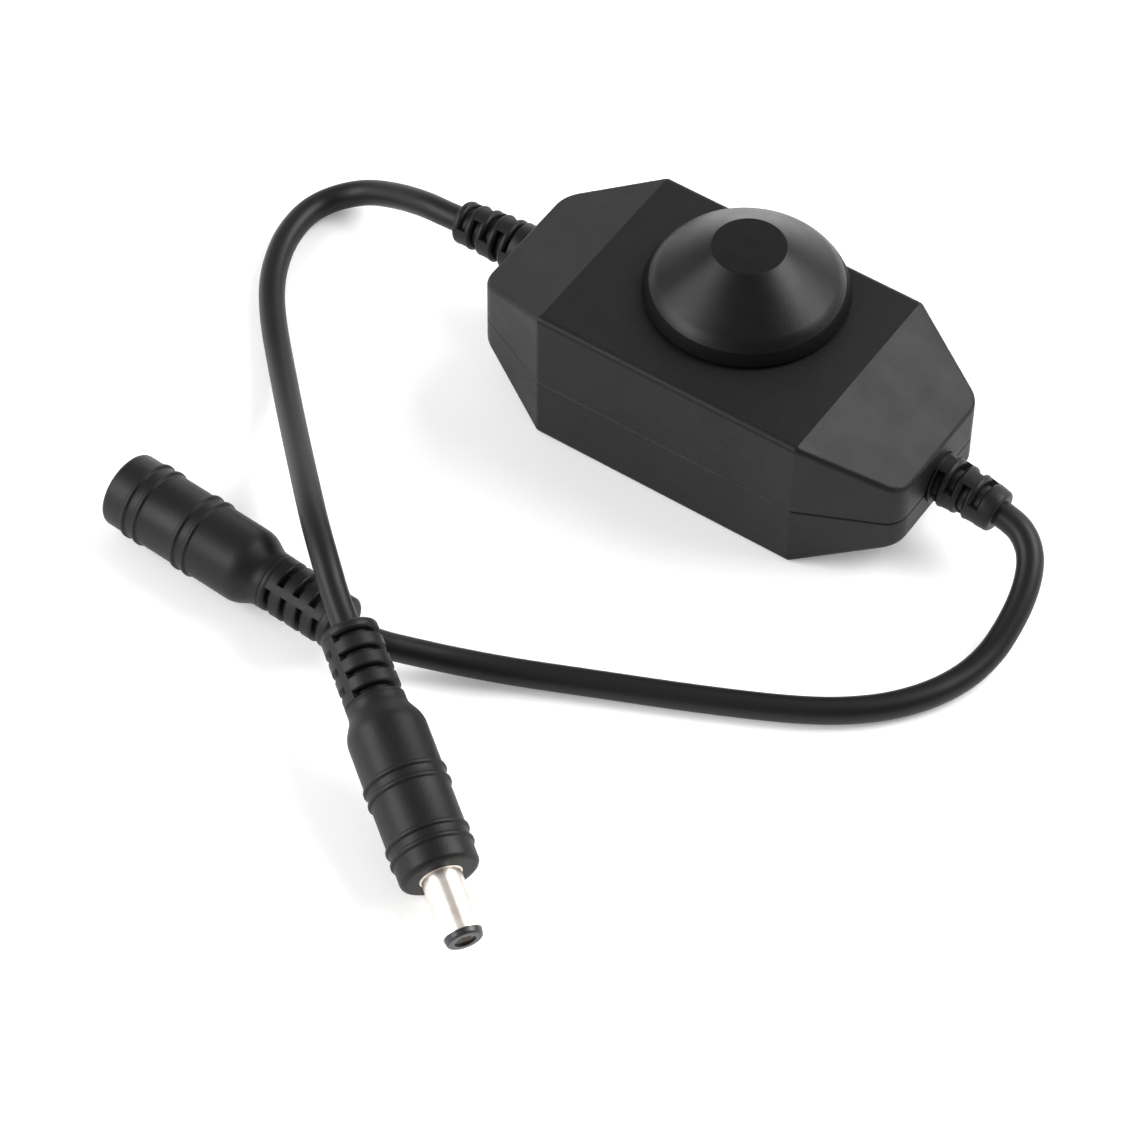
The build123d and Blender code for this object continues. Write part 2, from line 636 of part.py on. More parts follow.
def gland(side, gland_y, collar, bend, sag):
    """A cord gland: inner flange, neck in the wall, collar, and a bent tail of ribs that bridges hold."""
    plane = Plane(origin=(side * END_X, gland_y, PARTING_Z), x_dir=(side, 0, 0), z_dir=(0, -side, 0))
    rib = RELIEF_PITCH - RELIEF_SLOT
    taper = (GLAND_ROOT_R - GLAND_TIP_R) / RELIEF_LENGTH
    with BuildPart() as body:
        with BuildSketch(plane):
            with BuildLine():
                Polyline(
                    (-WALL - GLAND_CLEARANCE - GLAND_INNER_THICKNESS, 0),
                    (-WALL - GLAND_CLEARANCE - GLAND_INNER_THICKNESS, GLAND_INNER_R),
                    (-WALL - GLAND_CLEARANCE, GLAND_INNER_R),
                    (-WALL - GLAND_CLEARANCE, GLAND_NECK_R),
                    (GLAND_CLEARANCE, GLAND_NECK_R),
                    (GLAND_CLEARANCE, GLAND_ROOT_R),
                    (collar + GLAND_CLEARANCE, GLAND_ROOT_R),
                    (collar + GLAND_CLEARANCE, 0),
                    close=True,
                )
            make_face()
        revolve(axis=Axis(plane.origin, plane.x_dir))
        for index in range(RELIEF_COUNT):
            slot_start = RELIEF_PITCH * index
            slot_end = slot_start + RELIEF_SLOT
            outer_r = GLAND_ROOT_R - taper * slot_end
            with BuildSketch(sag_plane(side, gland_y, collar, bend, sag, slot_start)):
                Circle(RELIEF_CORE_R)
                with Locations(Rotation(0, 0, 90 * (index % 2))):
                    Rectangle(2 * (outer_r - RELIEF_OVERLAP), RELIEF_WEB)
            extrude(amount=RELIEF_SLOT + RELIEF_OVERLAP)
            with BuildSketch(sag_plane(side, gland_y, collar, bend, sag, slot_end)):
                Circle(outer_r)
            extrude(amount=rib + RIB_OVERLAP)
        with BuildSketch(sag_plane(side, gland_y, collar, bend, sag, FLANGE_START)):
            Circle(GLAND_TIP_R)
        extrude(amount=RELIEF_FLANGE)
    return body.part


def gland_tip(side, gland_y, collar, bend, sag):
    """Plane of a gland's tip face, where its cord comes out."""
    root = sag_plane(side, gland_y, collar, bend, sag, FLANGE_START)
    return Plane(origin=root.origin + root.z_dir * RELIEF_FLANGE, x_dir=root.x_dir, z_dir=root.z_dir)


plug_gland_form = (-1, PLUG_GLAND_Y, PLUG_GLAND_COLLAR, PLUG_GLAND_BEND, PLUG_GLAND_SAG)
jack_gland_form = (1, JACK_GLAND_Y, JACK_GLAND_COLLAR, JACK_GLAND_BEND, JACK_GLAND_SAG)
plug_gland = gland(*plug_gland_form)
jack_gland = gland(*jack_gland_form)
plug_gland_tip = gland_tip(*plug_gland_form)
jack_gland_tip = gland_tip(*jack_gland_form)


def connector_outline(body_length, rings):
    """Half section of a moulded connector: body with raised rings, shoulder, neck and tail."""
    points = [(0, 0), (0, BODY_R)]
    for ring in rings:
        points += [
            (-ring + RING_WIDTH / 2, BODY_R),
            (-ring + RING_WIDTH / 4, RING_R),
            (-ring - RING_WIDTH / 4, RING_R),
            (-ring - RING_WIDTH / 2, BODY_R),
        ]
    neck = -body_length - SHOULDER_LENGTH
    points += [(-body_length, BODY_R), (neck, NECK_R), (neck - NECK_LENGTH, NECK_R)]
    points += [(-body_length - CONNECTOR_TAIL, TAIL_R), (-body_length - CONNECTOR_TAIL, 0)]
    return points


def connector_body(plane, body_length, rings, roll):
    """A moulded connector body with its strain relief, in one piece."""
    first_slot = -body_length - SHOULDER_LENGTH - NECK_LENGTH
    slots = relief_slots(plane, first_slot, -CONNECTOR_PITCH, CONNECTOR_SLOT, NECK_R, roll)
    with BuildPart() as body:
        with BuildSketch(plane) as section:
            with BuildLine():
                Polyline(*connector_outline(body_length, rings), close=True)
            make_face()
            front = section.vertices().sort_by_distance(plane.origin + plane.y_dir * BODY_R)[0]
            fillet(front, BODY_EDGE_R)
        revolve(axis=Axis(plane.origin, plane.x_dir))
        add(slots, mode=Mode.SUBTRACT)
    return body.part


# The plug leans on its front rim, its tail lifted by the cord that crosses the jack
plug_tilt = radians(PLUG_TILT)
rim_drop = (BODY_R - BODY_EDGE_R) * cos(plug_tilt) + BODY_EDGE_R * (1 - sin(plug_tilt))
plug_z = rim_drop + FLOOR_CLEARANCE
plug_plane = connector_plane(PLUG_X, PLUG_Y, plug_z, PLUG_HEADING, PLUG_TILT)
# The jack lies on its raised rings, its X axis from the tail to the mouth
jack_plane = connector_plane(JACK_X, JACK_Y, RING_R + FLOOR_CLEARANCE, JACK_HEADING + 180, 0)
plug_axis = Axis(plug_plane.origin, plug_plane.x_dir)
jack_axis = Axis(jack_plane.origin, jack_plane.x_dir)

plug_mould = connector_body(plug_plane, PLUG_BODY_LENGTH, PLUG_RINGS, PLUG_RELIEF_ROLL)
jack_mould = connector_body(jack_plane, JACK_BODY_LENGTH, JACK_RINGS, 0)

with BuildPart() as plug_overmould:
    add(plug_mould)
    with BuildSketch(cross_plane(plug_plane, 0)):
        Circle(BARREL_ROOT_R + SLEEVE_CLEARANCE)
    extrude(amount=-BARREL_DEPTH, mode=Mode.SUBTRACT)

with BuildPart() as plug_barrel:
    with BuildSketch(cross_plane(plug_plane, -BARREL_DEPTH)):
        Circle(BARREL_ROOT_R)
    extrude(amount=BARREL_DEPTH)
    with BuildSketch(cross_plane(plug_plane, 0)):
        Circle(BARREL_R)
    extrude(amount=BARREL_LENGTH)
    with BuildSketch(cross_plane(plug_plane, -BARREL_DEPTH)):
        Circle(BARREL_R - BARREL_WALL)
    extrude(amount=BARREL_DEPTH + BARREL_LENGTH, mode=Mode.SUBTRACT)

with BuildPart() as plug_insulator:
    with BuildSketch(cross_plane(plug_plane, -BARREL_DEPTH)):
        Circle(BARREL_R - BARREL_WALL - SLEEVE_CLEARANCE)
    extrude(amount=BARREL_DEPTH + BARREL_LENGTH)
    with BuildSketch(cross_plane(plug_plane, BARREL_LENGTH)):
        Circle(TIP_RING_R)
    extrude(amount=TIP_RING_LENGTH, taper=TIP_RING_TAPER)
    tip_face = plug_insulator.faces().sort_by(plug_axis)[-1]
    fillet(tip_face.edges(), TIP_EDGE_R)
    with BuildSketch(cross_plane(plug_plane, -BARREL_DEPTH)):
        Circle(CONTACT_R + SLEEVE_CLEARANCE)
    extrude(amount=BARREL_DEPTH + BARREL_LENGTH + TIP_RING_LENGTH, mode=Mode.SUBTRACT)

with BuildPart() as plug_inner_contact:
    with BuildSketch(cross_plane(plug_plane, -BARREL_DEPTH)):
        Circle(CONTACT_R)
        Circle(CONTACT_BORE_R, mode=Mode.SUBTRACT)
    extrude(amount=BARREL_DEPTH + BARREL_LENGTH + TIP_RING_LENGTH - CONTACT_RECESS)

with BuildPart() as jack_overmould:
    add(jack_mould)
    with BuildSketch(cross_plane(jack_plane, 0)):
        Circle(INSERT_R + SLEEVE_CLEARANCE)
    extrude(amount=-INSERT_SETBACK - INSERT_LENGTH, mode=Mode.SUBTRACT)

with BuildPart() as jack_insert:
    with BuildSketch(cross_plane(jack_plane, -INSERT_SETBACK)):
        Circle(INSERT_R)
    extrude(amount=-INSERT_LENGTH)
    with BuildSketch(cross_plane(jack_plane, -INSERT_SETBACK)):
        Circle(SOCKET_R)
    extrude(amount=-SOCKET_DEPTH, mode=Mode.SUBTRACT)
    with BuildSketch(cross_plane(jack_plane, -INSERT_SETBACK - SPRING_SLOT_SETBACK)):
        with Locations((SOCKET_R, 0)):
            Rectangle(2 * SPRING_SLOT_DEPTH, SPRING_WIDTH + 2 * SPRING_SIDE_CLEARANCE)
    extrude(amount=-SOCKET_DEPTH + SPRING_SLOT_SETBACK, mode=Mode.SUBTRACT)

with BuildPart() as jack_pin:
    with BuildSketch(cross_plane(jack_plane, -INSERT_SETBACK - SOCKET_DEPTH)):
        Circle(JACK_PIN_R)
    extrude(amount=SOCKET_DEPTH - JACK_PIN_SETBACK)
    pin_tip = jack_pin.faces().sort_by(jack_axis)[-1]
    fillet(pin_tip.edges(), JACK_PIN_EDGE_R)

with BuildPart() as jack_spring:
    with BuildSketch(cross_plane(jack_plane, -INSERT_SETBACK - SOCKET_DEPTH)):
        with Locations((SOCKET_R + SPRING_SLOT_DEPTH / 2, 0)):
            Rectangle(SPRING_THICKNESS, SPRING_WIDTH)
    extrude(amount=SOCKET_DEPTH - SPRING_SETBACK)

# Cord routes: control points of the centre lines, chosen by hand, and the ends they were chosen for
ARC_SHARE = 0.45
PLUG_CORD_LEAD = 3.2
PLUG_TAIL_LEAD = 4.1
PLUG_CORD_DRAWN = ((-46.93, 3.2, 10.3), (-16.28, -67.68, 12.79))
PLUG_CORD_ROUTE = [
    (-53.4, 3.65, 9.35),
    (-58.5, 4.6, 7.2),
    (-64.3, 5.2, 4.3),
    (-67.5, 4.1, 2.9),
    (-69.9, 1.9, 2.1),
    (-71.1, -1.1, 1.92),
    (-71.2, -4.8, 1.92),
    (-70.3, -9.4, 1.92),
    (-67.6, -15.4, 1.92),
    (-63.2, -21.2, 1.95),
    (-55.6, -29.2, 3.0),
    (-45.6, -39.8, 7.0),
    (-33.7, -52.4, 13.7),
    (-28.4, -57.8, 15.6),
    (-23.4, -62.25, 15.5),
]
JACK_CORD_LEAD = 2.5
JACK_TAIL_LEAD = 2.8
JACK_CORD_DRAWN = ((44.11, 0.05, 10.21), (-20.09, -63.31, 5.77))
JACK_CORD_ROUTE = [
    (48.9, -1.1, 9.3),
    (50.75, -2.75, 8.4),
    (52.0, -5.2, 7.2),
    (52.8, -8.3, 5.8),
    (53.1, -12.1, 4.2),
    (53.0, -16.2, 2.75),
    (51.9, -21.2, 1.95),
    (49.2, -27.0, 1.92),
    (44.6, -32.6, 1.92),
    (37.4, -37.9, 1.92),
    (24.6, -44.2, 1.92),
    (11.0, -50.2, 1.92),
    (1.4, -54.5, 1.93),
    (-5.9, -58.1, 2.9),
    (-10.9, -60.9, 4.3),
    (-14.4, -62.8, 5.3),
]


def corner_radii(points):
    """Corner radii of a route: a share of the shorter run over the tangent of half the turn."""
    places = [Vector(p) for p in points]
    radii = []
    for before, corner, after in zip(places, places[1:], places[2:]):
        run_in, run_out = corner - before, after - corner
        turn = radians(run_in.get_angle(run_out))
        radii.append(ARC_SHARE * min(run_in.length, run_out.length) / tan(turn / 2))
    return radii


def cord_points(tip, lead, route, drawn, tail, tail_lead):
    """A whole route: it leaves the gland's tip and reaches the connector's tail square to their faces.

    Between them each point moves with the end it is nearer to, so the cord still fits when a size changes.
    """
    shift_start = tip.origin - Vector(*drawn[0])
    shift_end = tail.origin - Vector(*drawn[1])
    points = [tip.origin, tip.origin + tip.z_dir * lead]
    for index, point in enumerate(route):
        share = index / (len(route) - 1)
        points.append(Vector(*point) + shift_start * (1 - share) + shift_end * share)
    return points + [tail.origin - tail.x_dir * tail_lead, tail.origin]


def cord(name, points):
    """A round cord swept along straight runs joined by arcs."""
    radii = corner_radii(points)
    print(name, "radii", [round(r, 1) for r in radii])
    print(name, "points", [tuple(round(v, 3) for v in tuple(Vector(p))) for p in points])
    with BuildPart() as tube:
        with BuildLine() as path:
            FilletPolyline(*points, radius=radii)
        first = Vector(points[1]) - Vector(points[0])
        with BuildSketch(Plane(origin=points[0], z_dir=first)):
            Circle(CORD_R)
        sweep(path=path.wire())
    length = path.wire().length
    section = pi * CORD_R**2
    print(name, "length", round(length, 2), "volume ratio", round(tube.part.volume / (section * length), 5))
    return tube.part


plug_tail = slid_plane(plug_plane, -PLUG_BODY_LENGTH - CONNECTOR_TAIL)
jack_tail = slid_plane(jack_plane, -JACK_BODY_LENGTH - CONNECTOR_TAIL)
plug_points = cord_points(
    plug_gland_tip, PLUG_CORD_LEAD, PLUG_CORD_ROUTE, PLUG_CORD_DRAWN, plug_tail, PLUG_TAIL_LEAD
)
jack_points = cord_points(
    jack_gland_tip, JACK_CORD_LEAD, JACK_CORD_ROUTE, JACK_CORD_DRAWN, jack_tail, JACK_TAIL_LEAD
)
plug_cord = cord("plug_cord", plug_points)
jack_cord = cord("jack_cord", jack_points)


def lead(side, gland_y, lane):
    """One insulated core, from the gland's inner face to the underside of the board."""
    start_x = side * (END_X - WALL - GLAND_CLEARANCE - GLAND_INNER_THICKNESS)
    lead_y = gland_y + lane * LEAD_SPACING / 2
    with BuildPart() as core:
        with BuildLine() as path:
            FilletPolyline(
                (start_x, lead_y, PARTING_Z),
                (side * LEAD_END_X, lead_y, PARTING_Z),
                (side * LEAD_END_X, lead_y, BOARD_Z),
                radius=LEAD_BEND_R,
            )
        with BuildSketch(Plane(origin=(start_x, lead_y, PARTING_Z), z_dir=(-side, 0, 0))):
            Circle(LEAD_R)
        sweep(path=path.wire())
    return core.part


plug_lead_red = lead(-1, PLUG_GLAND_Y, 1)
plug_lead_black = lead(-1, PLUG_GLAND_Y, -1)
jack_lead_red = lead(1, JACK_GLAND_Y, 1)
jack_lead_black = lead(1, JACK_GLAND_Y, -1)

# Power transistor, its metal tab and its two legs
with BuildPart() as power_transistor:
    with BuildSketch(Plane.XY.offset(BOARD_TOP + TAB_THICKNESS)):
        with Locations(TRANSISTOR):
            Rectangle(TRANSISTOR_LENGTH, TRANSISTOR_WIDTH)
    extrude(amount=TRANSISTOR_HEIGHT)
    chamfer(power_transistor.faces().sort_by(Axis.Z)[-1].edges(), PACKAGE_CHAMFER)

transistor_legs_x = TRANSISTOR[0] - TRANSISTOR_LENGTH / 2 - TRANSISTOR_LEG_LENGTH / 2 + TAB_THICKNESS
with BuildPart() as transistor_tab:
    with BuildSketch(Plane.XY.offset(BOARD_TOP)):
        with Locations((TRANSISTOR[0] + (TAB_LENGTH - TRANSISTOR_LENGTH) / 2, TRANSISTOR[1])):
            Rectangle(TAB_LENGTH, TAB_WIDTH)
        with Locations((transistor_legs_x, TRANSISTOR[1])):
            with GridLocations(1, TRANSISTOR_LEG_PITCH, 1, 2):
                Rectangle(TRANSISTOR_LEG_LENGTH, TRANSISTOR_LEG_WIDTH)
    extrude(amount=TAB_THICKNESS)

# Control chip
with BuildPart() as timer_chip:
    with BuildSketch(Plane.XY.offset(BOARD_TOP + CHIP_STANDOFF)):
        with Locations(CHIP):
            Rectangle(CHIP_LENGTH, CHIP_WIDTH)
    extrude(amount=CHIP_HEIGHT)
    chamfer(timer_chip.faces().sort_by(Axis.Z)[-1].edges(), PACKAGE_CHAMFER)

# Its eight gull-wing legs, four on each long side: out of the body, down, and flat on the board
leg_root = CHIP_WIDTH / 2
leg_height = CHIP_STANDOFF + CHIP_HEIGHT / 2
leg_first_x = CHIP[0] - CHIP_LEG_PITCH * (CHIP_LEG_COUNT - 1) / 2 - CHIP_LEG_WIDTH / 2
with BuildPart() as timer_chip_legs:
    for index in range(CHIP_LEG_COUNT):
        leg_x = leg_first_x + CHIP_LEG_PITCH * index
        for side in (-1, 1):
            leg_plane = Plane(origin=(leg_x, CHIP[1], BOARD_TOP), x_dir=(0, side, 0), z_dir=(side, 0, 0))
            with BuildSketch(leg_plane):
                with BuildLine():
                    Polyline(
                        (leg_root, leg_height),
                        (leg_root, leg_height + CHIP_LEG_THICKNESS),
                        (leg_root + CHIP_LEG_DROP, leg_height + CHIP_LEG_THICKNESS),
                        (leg_root + 2 * CHIP_LEG_DROP, CHIP_LEG_THICKNESS),
                        (leg_root + CHIP_LEG_REACH, CHIP_LEG_THICKNESS),
                        (leg_root + CHIP_LEG_REACH, 0),
                        (leg_root + 2 * CHIP_LEG_DROP - CHIP_LEG_THICKNESS, 0),
                        (leg_root + CHIP_LEG_DROP - CHIP_LEG_THICKNESS, leg_height),
                        close=True,
                    )
                make_face()
            extrude(amount=side * CHIP_LEG_WIDTH)

# Radial capacitor under the board
with BuildPart() as smoothing_capacitor:
    with BuildSketch(Plane.XY.offset(BOARD_Z)):
        with Locations(CAPACITOR):
            Circle(CAPACITOR_R)
    extrude(amount=-CAPACITOR_HEIGHT)
    fillet(smoothing_capacitor.faces().sort_by(Axis.Z)[0].edges(), CAPACITOR_EDGE_R)

with BuildPart() as ceramic_capacitors:
    with BuildSketch(Plane.XY.offset(BOARD_TOP)):
        with Locations(*CERAMIC_PLACES):
            Rectangle(CERAMIC_LENGTH, CERAMIC_WIDTH)
    extrude(amount=CERAMIC_HEIGHT)

with BuildPart() as chip_resistors:
    with BuildSketch(Plane.XY.offset(BOARD_TOP)):
        with Locations(*RESISTOR_PLACES):
            Rectangle(RESISTOR_LENGTH, RESISTOR_WIDTH)
    extrude(amount=RESISTOR_HEIGHT)

with BuildPart() as diode:
    with BuildSketch(Plane.XY.offset(BOARD_TOP)):
        with Locations(DIODE):
            Rectangle(DIODE_LENGTH, DIODE_WIDTH)
    extrude(amount=DIODE_HEIGHT)
    chamfer(diode.faces().sort_by(Axis.Z)[-1].edges(), PACKAGE_CHAMFER)

pieces = {
    "top_shell": top_shell.part,
    "bottom_shell": bottom_shell.part,
    "housing_screws": housing_screws.part,
    "circuit_board": circuit_board.part,
    "pot_case": pot_case.part,
    "pot_track": pot_track.part,
    "pot_cover": pot_cover.part,
    "pot_terminals": pot_terminals.part,
    "pot_shaft": pot_shaft.part,
    "pot_wiper": pot_wiper.part,
    "pot_washer": pot_washer.part,
    "pot_nut": pot_nut.part,
    "knob": knob.part,
    "plug_gland": plug_gland,
    "jack_gland": jack_gland,
    "plug_overmould": plug_overmould.part,
    "plug_barrel": plug_barrel.part,
    "plug_insulator": plug_insulator.part,
    "plug_inner_contact": plug_inner_contact.part,
    "jack_overmould": jack_overmould.part,
    "jack_insert": jack_insert.part,
    "jack_pin": jack_pin.part,
    "jack_spring": jack_spring.part,
    "plug_cord": plug_cord,
    "jack_cord": jack_cord,
    "plug_lead_red": plug_lead_red,
    "plug_lead_black": plug_lead_black,
    "jack_lead_red": jack_lead_red,
    "jack_lead_black": jack_lead_black,
    "power_transistor": power_transistor.part,
    "transistor_tab": transistor_tab.part,
    "timer_chip": timer_chip.part,
    "timer_chip_legs": timer_chip_legs.part,
    "smoothing_capacitor": smoothing_capacitor.part,
    "ceramic_capacitors": ceramic_capacitors.part,
    "chip_resistors": chip_resistors.part,
    "diode": diode.part,
}

for name, solid in pieces.items():
    solid.label = name
    export_step(solid, f"parts/{name}.step")
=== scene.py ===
import logging
import math
from dataclasses import dataclass, field, replace
from enum import Enum
from typing import Sequence

import bmesh
import bpy
from mathutils import Matrix, Vector


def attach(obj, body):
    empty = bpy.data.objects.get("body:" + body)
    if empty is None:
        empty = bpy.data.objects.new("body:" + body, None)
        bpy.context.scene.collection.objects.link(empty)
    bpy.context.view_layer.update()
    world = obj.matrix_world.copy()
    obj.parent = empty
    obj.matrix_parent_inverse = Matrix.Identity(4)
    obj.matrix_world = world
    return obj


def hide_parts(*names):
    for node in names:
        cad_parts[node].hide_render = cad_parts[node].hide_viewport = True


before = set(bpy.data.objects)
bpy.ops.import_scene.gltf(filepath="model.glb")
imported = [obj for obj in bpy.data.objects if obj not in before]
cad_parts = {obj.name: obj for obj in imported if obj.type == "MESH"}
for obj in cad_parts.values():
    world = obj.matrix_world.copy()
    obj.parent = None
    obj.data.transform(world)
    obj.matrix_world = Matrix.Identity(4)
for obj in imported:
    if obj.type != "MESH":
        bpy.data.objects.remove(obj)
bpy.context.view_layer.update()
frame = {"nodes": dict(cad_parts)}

MM = 0.001
LOG = logging.getLogger("rotary_dimmer")

Point = tuple[float, float, float]
Colour = tuple[float, float, float]
Profile = Sequence[tuple[float, float]]


class Body(Enum):
    """The two bodies that the pieces ride on."""

    HOUSING = "housing"
    DIAL = "dial"


class Slot(Enum):
    """Names of two material slots; nothing uses them."""

    SOFT_PVC = "soft_pvc"
    KNOB = "knob"


class Side(Enum):
    """The end of the housing that a gland stands on, as the sign of its X axis."""

    PLUG = -1
    JACK = 1


# ---- node trees


class Graph:
    """A shader node tree with short calls for adding and joining nodes."""

    def __init__(self, tree: bpy.types.ShaderNodeTree) -> None:
        """Takes the tree to build in.

        Args:
            tree: a material's or a group's node tree.
        """
        self.tree = tree

    def add(self, kind: str, inputs: dict | None = None, **settings: object) -> bpy.types.Node:
        """Adds a node.

        Args:
            kind: the node's type name without its "ShaderNode" start.
            inputs: socket values, or sockets to link from, by input name or number.
            settings: plain attributes of the node.

        Returns:
            The new node.
        """
        node = self.tree.nodes.new("ShaderNode" + kind)
        for name, value in settings.items():
            setattr(node, name, value)
        for name, value in (inputs or {}).items():
            if isinstance(value, bpy.types.NodeSocket):
                self.tree.links.new(value, node.inputs[name])
            else:
                node.inputs[name].default_value = value
        return node

    def effect(self, group: bpy.types.ShaderNodeTree, **inputs: object) -> bpy.types.Node:
        """Adds a node group.

        Args:
            group: the group's tree.
            inputs: values or sockets by input name, with underscores for blanks.

        Returns:
            The group node.
        """
        node = self.tree.nodes.new("ShaderNodeGroup")
        node.node_tree = group
        for name, value in inputs.items():
            socket = node.inputs[name.replace("_", " ")]
            if isinstance(value, bpy.types.NodeSocket):
                self.tree.links.new(value, socket)
            else:
                socket.default_value = value
        return node

    def maths(self, operation: str, first: object, second: object = 0.0) -> bpy.types.NodeSocket:
        """Adds a Math node.

        Args:
            operation: Blender's name of the operation.
            first: value or socket.
            second: value or socket.

        Returns:
            The result's socket.
        """
        return self.add("Math", {0: first, 1: second}, operation=operation).outputs[0]

    def spread(self, value: object, low: float, high: float) -> bpy.types.NodeSocket:
        """Maps 0..1 to low..high.

        Args:
            value: socket with the value.
            low: result at 0.
            high: result at 1.

        Returns:
            The result's socket.
        """
        return self.add("MapRange", {"Value": value, "To Min": low, "To Max": high}).outputs["Result"]

    def blend(self, factor: object, first: Colour, second: Colour) -> bpy.types.NodeSocket:
        """Mixes two colours.

        Args:
            factor: socket with the share of the second one.
            first: linear colour at 0.
            second: linear colour at 1.

        Returns:
            The colour's socket.
        """
        node = self.add("Mix", {"Factor": factor}, data_type="RGBA")
        node.inputs["A"].default_value = (*first, 1.0)
        node.inputs["B"].default_value = (*second, 1.0)
        return node.outputs["Result"]


